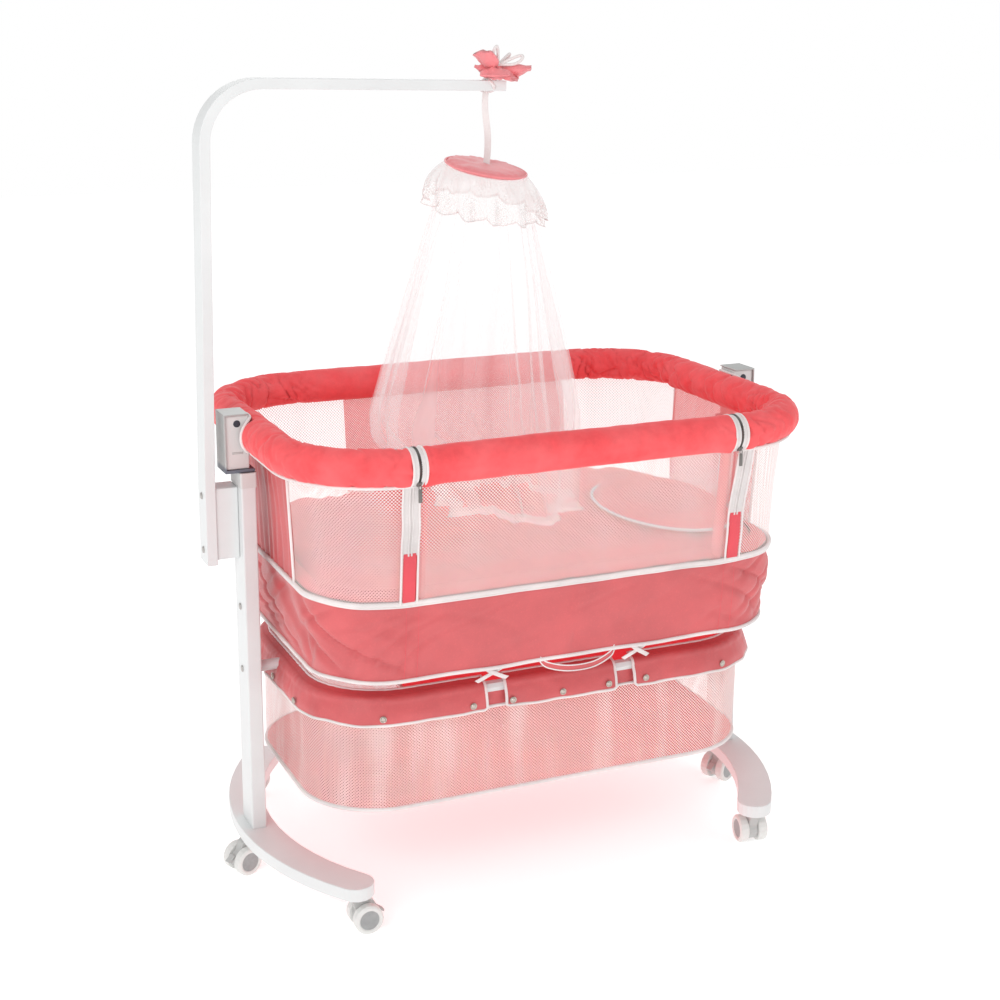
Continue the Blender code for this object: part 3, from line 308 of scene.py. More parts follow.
def lace_material(name, colour, pitch):
    """Cut lace: one flower in each scallop, with dots round it, on a sheer ground, and a
    corded edge. pitch is the scallops' width."""
    n = Nodes(name)
    place = n.place(True)
    cell = n.add("VectorMath", operation="WRAP")
    n.link(n.vector("ADD", place, (-pitch / 2, 0, 0)), cell.inputs[0])
    cell.inputs[1].default_value = (pitch / 2, 1.0, 1.0)
    cell.inputs[2].default_value = (-pitch / 2, -1.0, -1.0)
    centre = n.vector("SUBTRACT", cell.outputs["Vector"], (0, 0.0225, 0))
    radius = n.vector("LENGTH", centre, (0, 0, 0))
    split = n.add("SeparateXYZ")
    n.link(centre, split.inputs[0])
    angle = n.math("ARCTAN2", split.outputs[1], split.outputs[0])
    petals = n.math("ABSOLUTE", n.math("SINE", n.math("MULTIPLY", angle, 3)))
    edge = n.math("ADD", n.math("MULTIPLY", petals, 0.0055), 0.0055)
    inside = n.math("SUBTRACT", edge, radius)
    flower = n.math("LESS_THAN", n.math("ABSOLUTE", n.math("SUBTRACT", inside, 0.0013)), 0.0013)
    filling = n.math("MULTIPLY", n.math("GREATER_THAN", inside, 0.0), 0.62)
    eye = n.math("LESS_THAN", n.math("ABSOLUTE", n.math("SUBTRACT", radius, 0.0026)), 0.0009)
    dots = n.math("MULTIPLY", n.math("LESS_THAN", n.math("ABSOLUTE", n.math(
        "SUBTRACT", radius, 0.0152)), 0.0013),
        n.math("GREATER_THAN", n.math("SINE", n.math("MULTIPLY", angle, 13)), -0.2))
    flat = n.add("SeparateXYZ")
    n.link(place, flat.inputs[0])
    cord = n.math("LESS_THAN", flat.outputs[1], 0.0042)
    eyelet = n.math("GREATER_THAN", n.math("SINE", n.math("MULTIPLY", flat.outputs[0], 1100)),
                    0.55)
    cord = n.math("SUBTRACT", cord, n.math("MULTIPLY", eyelet, 0.5), clamp=True)
    motif = n.math("MAXIMUM", n.math("MAXIMUM", flower, eye), n.math("MAXIMUM", dots, cord))
    ground = n.ramp(n.noise(place, 500, 1), 0.4, 0.6, 0.24, 0.42)
    n.alpha(n.math("MAXIMUM", n.math("MAXIMUM", motif, filling), ground, clamp=True))
    n.colour(n.mix(motif, shade(colour, 0.95), colour))
    n.bump(motif, 0.5, 0.0005)
    n.set(Roughness=0.8, Sheen_Weight=0.3, Specular_IOR_Level=0.2)
    return n.material


def coat_material(name, colour, roughness, metallic=0.0, coat=0.0, grain=0.06, scuff=0.05):
    """Paint, lacquer, plastic or metal: orange-peel grain, faint patches and scuffs."""
    n = Nodes(name)
    place = n.place(False)
    peel = n.noise(place, 420, 2)
    patch = n.noise(place, 7, 4, 0.6)
    marks = n.noise(n.vector("MULTIPLY", place, (60.0, 60.0, 9.0)), 1.0, 5, 0.7)
    tone = n.mix(n.ramp(patch, 0.35, 0.7, 0, 1), shade(colour, 0.965), shade(colour, 1.02))
    tone = n.mix(n.ramp(marks, 0.66, 0.80, 0, scuff), tone, shade(colour, 0.60))
    n.colour(tone)
    n.link(n.ramp(patch, 0.3, 0.7, roughness - 0.05, roughness + 0.06),
           n.shader.inputs["Roughness"])
    n.bump(peel, grain, 0.0004)
    n.set(Metallic=metallic, Coat_Weight=coat, Coat_Roughness=0.25)
    return n.material


def bracket_material():
    """Grey sheet metal, with its foot in slate."""
    n = Nodes("slate_bracket_paint")
    place = n.place(False)
    split = n.add("SeparateXYZ")
    n.link(place, split.inputs[0])
    foot = n.ramp(split.outputs[2], RIM_Z - 0.058, RIM_Z - 0.052, 1.0, 0.0)
    patch = n.noise(place, 30, 4, 0.6)
    grey = n.mix(n.ramp(patch, 0.3, 0.7, 0, 1), (0.44, 0.45, 0.44), (0.53, 0.54, 0.53))
    n.colour(n.mix(foot, grey, (0.15, 0.17, 0.21)))
    n.rough(patch, 0.30, 0.42)
    n.bump(n.noise(place, 420, 2), 0.12, 0.0004)
    n.set(Metallic=0.3)
    return n.material


CORAL = (0.98, 0.105, 0.115)
SATIN = (0.66, 0.115, 0.122)
PLUSH = plush_material("coral_plush_pile", CORAL)
SATIN_CLOTH = weave_material("coral_satin_weave", SATIN, 0.0011, 0.46, 0.25, 0.15, 0.5)
QUILT_CLOTH = weave_material("coral_cotton_quilt", (0.97, 0.125, 0.13), 0.0012, 0.80, 0.12)
PATCH_CLOTH = weave_material("coral_ribbon_cloth", (0.80, 0.085, 0.11), 0.0009, 0.55, 0.25)
PIPING = weave_material("white_piping_tape", (0.86, 0.80, 0.79), 0.0010, 0.70, 0.25)
TAPE = weave_material("white_zip_tape", (0.80, 0.75, 0.74), 0.0008, 0.65, 0.2)
WALL_NET = net_material("white_wall_net", (0.93, 0.84, 0.82), 0.0060, 0.335, 0.08)
BASKET_NET = net_material("white_basket_net", (0.92, 0.80, 0.77), 0.0058, 0.325, 0.30)
TULLE = tulle_material("white_tulle", (0.93, 0.92, 0.92), 0.24)
LACQUER = coat_material("white_lacquered_board", (0.76, 0.775, 0.775), 0.42, coat=0.15)
PAINT = coat_material("white_powder_coat", (0.75, 0.765, 0.765), 0.36, coat=0.1, grain=0.10)
PLASTIC = coat_material("white_moulded_plastic", (0.68, 0.68, 0.67), 0.42, grain=0.12)
GREY = coat_material("grey_moulded_plastic", (0.50, 0.50, 0.49), 0.5, grain=0.16)
SLATE = bracket_material()
DARK = coat_material("dark_slot_plastic", (0.035, 0.04, 0.055), 0.5)
STEEL = coat_material("zinc_plated_steel", (0.46, 0.44, 0.42), 0.30, 1.0, scuff=0.25)
SNAP = coat_material("snap_metal", (0.52, 0.47, 0.42), 0.27, 1.0, scuff=0.2)
GUNMETAL = coat_material("zip_pull_metal", (0.20, 0.19, 0.18), 0.34, 0.9, scuff=0.2)
BOARD = coat_material("mattress_board", (0.42, 0.33, 0.24), 0.75, grain=0.3, scuff=0.4)


# ---- mesh helpers ----
def place(piece, body, slot=None, replaces=()):
    """Puts a piece built in crib coordinates into the frame, and says what it rides on."""
    piece.location.x += MID_X
    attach(piece, body)
    if replaces:
        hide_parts(*replaces)
    return piece


def new_object(name, mesh, material):
    piece = bpy.data.objects.new(name, mesh)
    bpy.context.scene.collection.objects.link(piece)
    mesh.materials.clear()
    mesh.materials.append(material)
    return piece


def grid(name, rows, material, closed=False, smooth=True):
    """A sheet through rows of points, with its cloth coordinates in metres."""
    columns = len(rows[0])
    mesh = bpy.data.meshes.new(name)
    points = [tuple(point) for row in rows for point in row]
    faces = []
    span = columns if closed else columns - 1
    for r in range(len(rows) - 1):
        for c in range(span):
            d = (c + 1) % columns
            faces.append((r * columns + c, r * columns + d, (r + 1) * columns + d,
                          (r + 1) * columns + c))
    mesh.from_pydata(points, [], faces)
    middle = rows[len(rows) // 2]
    along = [0.0]
    for c in range(span):
        along.append(along[-1] + (Vector(middle[(c + 1) % columns]) - Vector(middle[c])).length)
    up = [0.0]
    for r in range(len(rows) - 1):
        up.append(up[-1] + (Vector(rows[r + 1][0]) - Vector(rows[r][0])).length)
    layer = mesh.uv_layers.new(name="cloth")
    for polygon in mesh.polygons:
        r, c = divmod(polygon.index, span)
        for loop, (dr, dc) in zip(polygon.loop_indices, ((0, 0), (0, 1), (1, 1), (1, 0))):
            layer.data[loop].uv = (along[c + dc], up[r + dr])
    if smooth:
        mesh.shade_smooth()
    return new_object(name, mesh, material)


def close_ends(piece, count, reverse_first=True):
    """Caps a tube whose rows have count points, and turns its faces outwards."""
    cage = bmesh.new()
    cage.from_mesh(piece.data)
    cage.verts.ensure_lookup_table()
    first = cage.verts[:count]
    cage.faces.new(list(reversed(first)) if reverse_first else first)
    cage.faces.new(cage.verts[-count:])
    bmesh.ops.recalc_face_normals(cage, faces=cage.faces)
    cage.to_mesh(piece.data)
    cage.free()
    piece.data.shade_smooth()


def evaluated_mesh(piece):
    """The piece's mesh with its modifiers applied."""
    bpy.context.view_layer.update()
    depsgraph = bpy.context.evaluated_depsgraph_get()
    return bpy.data.meshes.new_from_object(piece.evaluated_get(depsgraph))


def voxel_remesh(piece, size):
    """Rebuilds a closed pad as an even mesh, with its material kept."""
    remesh = piece.modifiers.new("remesh", "REMESH")
    remesh.mode = "VOXEL"
    remesh.voxel_size = size
    material = piece.data.materials[0]
    piece.data = evaluated_mesh(piece)
    piece.modifiers.clear()
    piece.data.materials.clear()
    piece.data.materials.append(material)


def thicken(piece, thickness, offset=-1.0):
    shell = piece.modifiers.new("cloth", "SOLIDIFY")
    shell.thickness = thickness
    shell.offset = offset
    return piece


def piping(name, lines, radius, material=None, closed=False, resolution=3):
    """A cord of cloth along one or more lines of points."""
    curve = bpy.data.curves.new(name, "CURVE")
    curve.dimensions = "3D"
    curve.bevel_depth = radius
    curve.bevel_resolution = resolution
    curve.use_fill_caps = True
    if not isinstance(lines[0][0], (tuple, list, Vector)):
        lines = [lines]
    for points in lines:
        spline = curve.splines.new("POLY")
        spline.points.add(len(points) - 1)
        for target, point in zip(spline.points, points):
            target.co = (*point, 1.0)
        spline.use_cyclic_u = closed
        spline.use_smooth = True
    piece = bpy.data.objects.new(name, curve)
    bpy.context.scene.collection.objects.link(piece)
    curve.materials.append(material or PIPING)
    return piece


def strip(name, path, across, width, thickness, material, rounding=0.0006):
    """A flat tape: its middle follows path, and across gives its width's direction."""
    rows = [[], []]
    for point, side in zip(path, across):
        side = Vector(side).normalized() * width / 2
        rows[0].append(Vector(point) - side)
        rows[1].append(Vector(point) + side)
    piece = grid(name, rows, material)
    thicken(piece, thickness, 0.0)
    if rounding:
        edge = piece.modifiers.new("edge", "BEVEL")
        edge.width = rounding
        edge.segments = 2
    return piece


def solid_of(name, cage, material, smooth_angle=40):
    mesh = bpy.data.meshes.new(name)
    cage.to_mesh(mesh)
    cage.free()
    mesh.shade_smooth()
    mesh.set_sharp_from_angle(angle=math.radians(smooth_angle))
    return new_object(name, mesh, material)


def turned(name, profile, material, centre, axis=(0, 0, 1), steps=40):
    """A (radius, height) profile spun about an axis through centre."""
    rows = []
    turn = Vector(axis).to_track_quat("Z", "Y").to_matrix()
    for radius, height in profile:
        rows.append([turn @ Vector((radius * c, radius * s, height)) + Vector(centre)
                     for _, c, s in circle(steps)])
    piece = grid(name, rows, material, closed=True)
    piece.data.set_sharp_from_angle(angle=math.radians(35))
    return piece


def rounded_box(name, size, centre, material, edge=0.0015, turn=None):
    cage = bmesh.new()
    bmesh.ops.create_cube(cage, size=1.0, matrix=Matrix.Diagonal((*size, 1.0)))
    bmesh.ops.bevel(cage, geom=cage.edges[:], offset=edge, segments=3, affect="EDGES",
                    profile=0.5)
    matrix = Matrix.Translation(Vector(centre)) @ (turn.to_4x4() if turn else Matrix())
    bmesh.ops.transform(cage, matrix=matrix, verts=cage.verts)
    return solid_of(name, cage, material)


def lerp(a, b, t):
    return a + (b - a) * t


def circle(steps):
    """(angle, cosine, sine) at even steps round a circle."""
    angles = [math.tau * k / steps for k in range(steps)]
    return [(angle, math.cos(angle), math.sin(angle)) for angle in angles]


def path_length(points):
    return sum((Vector(b) - Vector(a)).length for a, b in zip(points, points[1:]))


def smoothstep(low, high, value):
    t = min(1.0, max(0.0, (value - low) / (high - low)))
    return t * t * (3 - 2 * t)


def wobble(*place):
    """Smooth noise between about -1 and 1."""
    return noise.noise(Vector(place)) * 1.6


# ---- rings ----
def ring(half_x, half_y, pitch=PITCH, corner_x=CORNER_X, radius=None):
    """(x, y, out_x, out_y) round the cradle, anticlockwise from the front's middle. All
    rings of one pitch have as many points, each beside its neighbour on the next ring."""
    radius = radius or half_x - corner_x
    straight_x, straight_y = half_x - radius, half_y - radius
    count_x = max(2, round(CORNER_X / pitch))
    count_y = max(2, round((RIM_Y - 0.174) / pitch))
    count_c = max(4, round(0.174 * math.pi / 2 / pitch))
    points = []

    def run(start, end, out, count):
        for k in range(count):
            t = k / count
            points.append((lerp(start[0], end[0], t), lerp(start[1], end[1], t), *out))

    def corner(sx, sy, start):
        for k in range(count_c):
            a = math.radians(start + 90 * k / count_c)
            c, s = math.cos(a), math.sin(a)
            points.append((sx * straight_x + radius * c, sy * straight_y + radius * s, c, s))

    run((0, -half_y), (straight_x, -half_y), (0, -1), count_x)
    corner(1, -1, -90)
    run((half_x, -straight_y), (half_x, straight_y), (1, 0), 2 * count_y)
    corner(1, 1, 0)
    run((straight_x, half_y), (-straight_x, half_y), (0, 1), 2 * count_x)
    corner(-1, 1, 90)
    run((-half_x, straight_y), (-half_x, -straight_y), (-1, 0), 2 * count_y)
    corner(-1, -1, 180)
    run((-straight_x, -half_y), (0, -half_y), (0, -1), count_x)
    return points


def run_lengths(points, closed=True):
    lengths = [0.0]
    for a, b in zip(points, points[1:] + (points[:1] if closed else [])):
        lengths.append(lengths[-1] + math.hypot(b[0] - a[0], b[1] - a[1]))
    return lengths


# ---- camera, floor and light ----
def stage_set():
    camera = bpy.data.objects.new("camera", bpy.data.cameras.new("camera"))
    bpy.context.scene.collection.objects.link(camera)
    camera.data.lens = CAMERA_LENS
    camera.data.shift_y = CAMERA_SHIFT
    camera.data.clip_end = 50
    yaw, pitch = math.radians(CAMERA_YAW), math.radians(CAMERA_PITCH)
    camera.rotation_euler = (math.pi / 2 + pitch, 0, yaw)
    camera.location = Vector((MID_X, 0, 0)) + Vector(CAMERA_PLACE)
    bpy.context.scene.camera = camera

    floor_mesh = bpy.data.meshes.new("floor")
    floor_mesh.from_pydata([(-14, -14, 0), (14, -14, 0), (14, 14, 0), (-14, 14, 0)], [],
                           [(0, 1, 2, 3)])
    n = Nodes("pale_floor")
    speck = n.noise(n.place(False), 3.0, 4)
    n.colour(n.mix(speck, (0.93, 0.93, 0.93), (0.95, 0.95, 0.95)))
    n.set(Roughness=0.8, Specular_IOR_Level=0.1, Emission_Strength=0.45)
    n.glow((1, 1, 1))
    floor = new_object("floor", floor_mesh, n.material)

    world = bpy.data.worlds.new("studio")
    bpy.context.scene.world = world
    world.use_nodes = True
    sky = world.node_tree
    sky.nodes["Background"].inputs["Color"].default_value = (1, 1, 1, 1)
    ray = sky.nodes.new("ShaderNodeLightPath")
    level = sky.nodes.new("ShaderNodeMapRange")
    level.inputs["To Min"].default_value = 0.70
    level.inputs["To Max"].default_value = 1.0
    sky.links.new(ray.outputs["Is Camera Ray"], level.inputs["Value"])
    sky.links.new(level.outputs["Result"], sky.nodes["Background"].inputs["Strength"])

    def lamp(name, size, power, location, target):
        data = bpy.data.lights.new(name, "AREA")
        data.size = size
        data.energy = power
        light = bpy.data.objects.new(name, data)
        light.location = location
        aim = Vector(target) - Vector(location)
        light.rotation_euler = aim.to_track_quat("-Z", "Y").to_euler()
        bpy.context.scene.collection.objects.link(light)

    for settings in LAMPS:
        lamp(*settings)
    bpy.context.scene.cycles.transparent_max_bounces = 32
    view = bpy.context.scene.view_settings
    view.view_transform = "Standard"
    view.look = "None"


# ---- plush roll round the rim ----
def plush_roll(name, points, straight, ends, seed):
    """A stuffed roll along points (x, y, out_x, out_y), creased where it bends.
    straight(index) is 1 where the run is straight; ends closes both ends to the tube."""
    around = 52
    runs = run_lengths(points, closed=False)
    total = runs[-1]
    rows = []
    for index, (x, y, ox, oy) in enumerate(points):
        bend = 1.0 - straight(index)
        s = runs[index]
        to_end = min(s, total - s)
        row = []
        for k in range(around):
            angle = math.tau * k / around
            out, up = math.cos(angle), math.sin(angle)
            inner = max(0.0, -out)
            radius = RIM_R * (1 + 0.018 * wobble(s * 7, angle * 0.6, seed))
            # fine soft lumps of the filling
            radius += 0.0007 * wobble(s * 28, out * 1.4, up * 1.4 + seed)
            # sharp creases running round the roll, deepest inside a bend
            warp = s * 40 + 0.7 * angle / math.pi + 0.7 * wobble(out, up, s * 8 + seed)
            ridge = abs(wobble(warp, out * 0.4 + seed, up * 0.4))
            broad = abs(wobble(s * 15 + 0.45 * wobble(out, up, s * 4), out * 0.25, seed - 2))
            crease = max(0.0, 1 - ridge * 4.6)
            fold = max(0.0, 1 - broad * 4.0)
            near_end = smoothstep(0.075, 0.0, to_end)
            depth = 0.0056 * bend * (0.35 + 0.8 * inner) + 0.0004 * (1 - bend)
            depth += 0.0034 * near_end
            radius -= crease * depth + fold * bend * (0.0030 + 0.0044 * inner)
            # puffs between the creases of a bend
            radius += 0.0013 * bend * (0.4 + inner) * wobble(warp * 0.5, up, seed + 3)
            if ends:
                tuck = smoothstep(0.016, 0.0, to_end)
                radius -= 0.0075 * tuck * tuck
            px, py, pz = x + ox * radius * out, y + oy * radius * out, RIM_Z + radius * up
            # flat cloth against each bracket's mouth
            if abs(py) < COVER_CUT and abs(px) > RIM_X:
                reach = (1 - (abs(py) / COVER_CUT) ** 3) ** (1 / 3)
                limit = RIM_X + lerp(RIM_R, 0.0080, smoothstep(0.0, 0.55, reach))
                px = math.copysign(min(abs(px), limit), px)
            # the cloth hangs into a lobe under each zip
            if up < -0.2 and ends:
                lobe = math.exp(-((to_end - 0.012) / 0.022) ** 2)
                pz -= 0.0055 * lobe * (-up - 0.2)
            row.append((px, py, pz))
        rows.append(row)
    # rows run along the roll; turned so that the faces look outwards
    piece = grid(name, [list(reversed(row)) for row in rows], PLUSH, closed=True)
    close_ends(piece, around)
    return piece


def straightness(points):
    """1 on straight runs, 0 in the middle of each corner, from the turning direction."""
    values = []
    for x, y, ox, oy in points:
        in_corner = abs(x) > CORNER_X - 0.004 and abs(y) > 0.150
        near = smoothstep(0.10, 0.0, CORNER_X - abs(x)) * 0.5 if abs(x) < CORNER_X else 0.55
        values.append(0.0 if in_corner else 1.0 - near)
    smoothed = list(values)
    for _ in range(12):
        smoothed = [(smoothed[i - 1] + smoothed[i] + smoothed[(i + 1) % len(smoothed)]) / 3
                    for i in range(len(smoothed))]
    return smoothed


def make_rim():
    loop = ring(RIM_X, RIM_Y, 0.0032)
    flat = straightness(loop)
    start = next(i for i, p in enumerate(loop) if p[0] > ZIP_X + 0.0012 and p[1] < 0)
    stop = max(i for i, p in enumerate(loop) if p[0] < -ZIP_X - 0.0012 and p[1] < 0) + 1
    points, bends = loop[start:stop], flat[start:stop]
    points = [(ZIP_X + 0.0010, -RIM_Y, 0, -1)] + points + [(-ZIP_X - 0.0010, -RIM_Y, 0, -1)]
    bends = [bends[0]] + bends + [bends[-1]]
    roll = plush_roll("rim_plush", points, lambda i: bends[i], True, 3.1)
    place(roll, "cradle", "coral_plush", ["rim_cover"])

    count = 150
    half = ZIP_X - 0.0010
    points = [(lerp(-half, half, k / count), -RIM_Y, 0, -1) for k in range(count + 1)]
    roll = plush_roll("front_rail_plush", points, lambda i: 1.0, True, 11.7)
    place(roll, "drop_side", "coral_plush", ["front_rail_cover"])

    # piping where the roll's lower edge meets the net, and round each bracket's mouth
    low = math.radians(-62)
    line = [(x + ox * RIM_R * math.cos(low), y + oy * RIM_R * math.cos(low),
             RIM_Z + (RIM_R + 0.001) * math.sin(low)) for x, y, ox, oy in loop[start:stop]]
    line = [p if abs(p[1]) > COVER_CUT * 0.9 else None for p in line]
    parts, part = [], []
    for p in line:
        if p is None:
            if part:
                parts.append(part)
            part = []
        else:
            part.append(p)
    parts.append(part)
    place(piping("rim_lower_piping", parts, PIPING_R), "cradle")
    for side in (-1, 1):
        mouth = []
        for _, c, s in circle(72):
            y = COVER_CUT * math.copysign(abs(c) ** 0.75, c)
            angle = math.radians(74) * math.copysign(abs(s) ** 0.75, s)
            reach = RIM_R + 0.0008
            mouth.append((side * (RIM_X + reach * math.cos(angle)), y,
                          RIM_Z + reach * math.sin(angle)))
        place(piping(f"mouth_piping_{'left' if side < 0 else 'right'}", mouth, PIPING_R,
                     closed=True), "cradle")


# ---- zips ----
def round_rim(x, radius, start, end, steps, drop=0.0):
    """Points round the front roll at x, from its underside over the top, in degrees."""
    angles = [math.radians(lerp(start, end, k / steps)) for k in range(steps + 1)]
    return [(x, -RIM_Y - radius * math.cos(angle), RIM_Z + radius * math.sin(angle) - drop)
            for angle in angles]


def band_round_rim(name, x, width, material, lift, thickness, start=ZIP_START, end=ZIP_END):
    """A tape wrapped round the roll at x, from its underside over the top."""
    path, across = [], []
    for k in range(41):
        angle = math.radians(lerp(start, end, k / 40))
        sag = 0.0055 * math.exp(-(0.012 / 0.022) ** 2) * max(0.0, -math.sin(angle) - 0.2)
        r = RIM_R + lift - 0.004
        path.append((x, -RIM_Y - r * math.cos(angle), RIM_Z + r * math.sin(angle) - sag))
        across.append((1, 0, 0))
    return strip(name, path, across, width, thickness, material)


def make_zips():
    for side, label in ((-1, "left"), (1, "right")):
        for inward, body in ((1, "drop_side"), (-1, "cradle")):
            x = side * (ZIP_X - inward * 0.0070)
            tag = "rail" if inward > 0 else "rim"
            place(band_round_rim(f"zip_tape_{tag}_{label}", x, 0.0100, TAPE, 0.0020, 0.0016),
                  body)
            for edge, offset in (("outer", 0.0120), ("inner", 0.0035)):
                line = round_rim(side * (ZIP_X - inward * offset),
                                 RIM_R - (0.0005 if edge == "outer" else 0.0015),
                                 ZIP_START, ZIP_END, 40, 0.0008)
                place(piping(f"zip_cord_{tag}_{edge}_{label}", line,
                             0.0022 if edge == "outer" else 0.0013, PIPING), body)
            cage = bmesh.new()
            for k in range(58):
                angle = math.radians(lerp(-92, 205, (k + 0.5 * (inward > 0)) / 58))
                r = RIM_R - 0.0012
                centre = Vector((side * (ZIP_X - inward * 0.0013), -RIM_Y - r * math.cos(angle),
                                 RIM_Z + r * math.sin(angle)))
                turn = Matrix.Rotation(angle, 4, "X")
                matrix = Matrix.Translation(centre) @ turn @ Matrix.Diagonal(
                    (0.0022, 0.0022, 0.0013, 1))
                bmesh.ops.create_cube(cage, size=1.0, matrix=matrix)
            teeth = solid_of(f"zip_teeth_{tag}_{label}", cage, GUNMETAL)
            place(teeth, body)
        # slider and its pull, at the outside of the roll's underside
        angle = math.radians(-48)
        r = RIM_R + 0.0012
        seat = Vector((side * ZIP_X, -RIM_Y - r * math.cos(angle), RIM_Z + r * math.sin(angle)))
        turn = Matrix.Rotation(math.radians(48), 3, "X")
        place(rounded_box(f"zip_slider_{label}", (0.0085, 0.0045, 0.0110), seat, GUNMETAL,
                          0.0015, turn), "cradle")
        top = seat + Vector((0, -0.0040, -0.003))
        ring_line = []
        for k in range(20):
            t = math.tau * k / 20
            ring_line.append((top.x + 0.0024 * math.cos(t), top.y,
                              top.z - 0.002 + 0.0040 * math.sin(t)))
        place(piping(f"zip_pull_ring_{label}", ring_line, 0.0008, GUNMETAL, closed=True), "cradle")
        place(rounded_box(f"zip_pull_{label}", (0.0068, 0.0026, 0.0235),
                          top + Vector((0, -0.0003, -0.0165)), GUNMETAL, 0.0012), "cradle")


# ---- cradle's cloth body ----
def wall_point(low, high, t, bulge=0.0):
    """Between a point of the hem ring and one of the wall's top ring."""
    x, y = lerp(low[0], high[0], t), lerp(low[1], high[1], t)
    puff = bulge * math.sin(math.pi * t)
    return (x + low[2] * puff, y + low[3] * puff, lerp(HEM_Z, WALL_TOP_Z, t))


def wall_sheet(name, indices, material, body, rows=26, bulge=-0.002, ruche=0.0, wave=0.0006):
    low, high = ring(HEM_X, HEM_Y), ring(WALL_TOP_X, WALL_TOP_Y)
    lines = []
    for r in range(rows + 1):
        t = r / rows
        line = []
        for index in indices:
            a, b = low[index % len(low)], high[index % len(high)]
            x, y, z = wall_point(a, b, t, bulge)
            ripple = wave * wobble(index * 0.11, t * 2.2, 5.0)
            if ruche:
                gather = abs(math.sin(index * 0.62 + 1.3 * wobble(index * 0.2, t * 1.5, 8.0)))
                ripple += ruche * (0.35 + 0.65 * abs(2 * t - 1)) * (gather - 0.5)
            line.append((x + a[2] * ripple, y + a[3] * ripple, z))
        lines.append(line)
    piece = grid(name, lines, material)
    place(piece, body)
    return piece


def flat_size(indices, height):
    loop = ring((HEM_X + WALL_TOP_X) / 2, (HEM_Y + WALL_TOP_Y) / 2)
    total = 0.0
    for a, b in zip(indices, indices[1:]):
        p, q = loop[a % len(loop)], loop[b % len(loop)]
        total += math.hypot(q[0] - p[0], q[1] - p[1])
    return (round(total, 3), round(height, 3))


def make_walls():
    loop = ring(HEM_X, HEM_Y)
    count = len(loop)
    height = WALL_TOP_Z - HEM_Z
    end_y = 0.165
    mid_right = next(i for i, p in enumerate(loop) if p[0] > 0 and p[2] > 0.99 and p[1] > -end_y)
    far_right = max(i for i, p in enumerate(loop) if p[0] > 0 and p[2] > 0.99 and p[1] < end_y)
    far_left = next(i for i, p in enumerate(loop) if p[0] < 0 and p[2] < -0.99 and p[1] < end_y)
    mid_left = max(i for i, p in enumerate(loop) if p[0] < 0 and p[2] < -0.99 and p[1] > -end_y)
    zip_right = next(i for i, p in enumerate(loop) if p[0] > ZIP_X)
    zip_left = max(i for i, p in enumerate(loop) if p[0] < -ZIP_X)
    back_a = next(i for i, p in enumerate(loop) if p[1] > 0 and p[3] > 0.99 and p[0] < 0.306)
    back_b = max(i for i, p in enumerate(loop) if p[1] > 0 and p[3] > 0.99 and p[0] > -0.205)
    layout = [
        ("corner_net_right", range(zip_right, mid_right + 1), WALL_NET, 0.0, "white_mesh"),
        ("end_panel_right", range(mid_right, far_right + 1), PANEL_NET, 0.003, "coral_satin"),
        ("back_net_right", range(far_right, back_a + 1), WALL_NET, 0.0, "white_mesh"),
        ("back_panel", range(back_a, back_b + 1), PANEL_NET, 0.0, "coral_satin"),
        ("back_net_left", range(back_b, far_left + 1), WALL_NET, 0.0, "white_mesh"),
        ("end_panel_left", range(far_left, mid_left + 1), SATIN_CLOTH, 0.005, "coral_satin"),
        ("corner_net_left", range(mid_left, zip_left + 1), WALL_NET, 0.0, "white_mesh"),
    ]
    for name, indices, material, ruche, slot in layout:
        indices = list(indices)
        piece = wall_sheet(name, indices, material, "cradle", ruche=ruche)
        width, length = flat_size(indices, height)
        if name == "corner_net_left":
            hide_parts("wall_fabric")
    front = list(range(zip_left + 1, count)) + list(range(count, count + zip_right))
    piece = wall_sheet("front_net", front, WALL_NET, "cradle")
    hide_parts("front_panel")
    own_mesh(piece)
    flat_size(front, height)

    # hem band and piping round the foot of the net
    for z_shift, name, radius in ((0.0, "hem_piping", 0.0040), (-0.0052, "hem_cord", 0.0022)):
        line = [(x + ox * 0.0025, y + oy * 0.0025, HEM_Z + z_shift
                 + 0.0012 * wobble(i * 0.07, 1.0, 2.0)) for i, (x, y, ox, oy) in enumerate(loop)]
        place(piping(name, line, radius, closed=True), "cradle")
    # upright piping between the net and each end panel
    high = ring(WALL_TOP_X, WALL_TOP_Y)
    for index, name in ((mid_right, "right_front"), (far_right, "right_back"),
                        (far_left, "left_back"), (mid_left, "left_front")):
        line = []
        for r in range(15):
            x, y, z = wall_point(loop[index], high[index], r / 14)
            line.append((x + loop[index][2] * 0.002, y + loop[index][3] * 0.002, z))
        place(piping(f"seam_piping_{name}", line, 0.0026), "cradle")


def wall_front_y(z):
    """The front net's y at a height."""
    return -lerp(HEM_Y, WALL_TOP_Y, (z - HEM_Z) / (WALL_TOP_Z - HEM_Z))


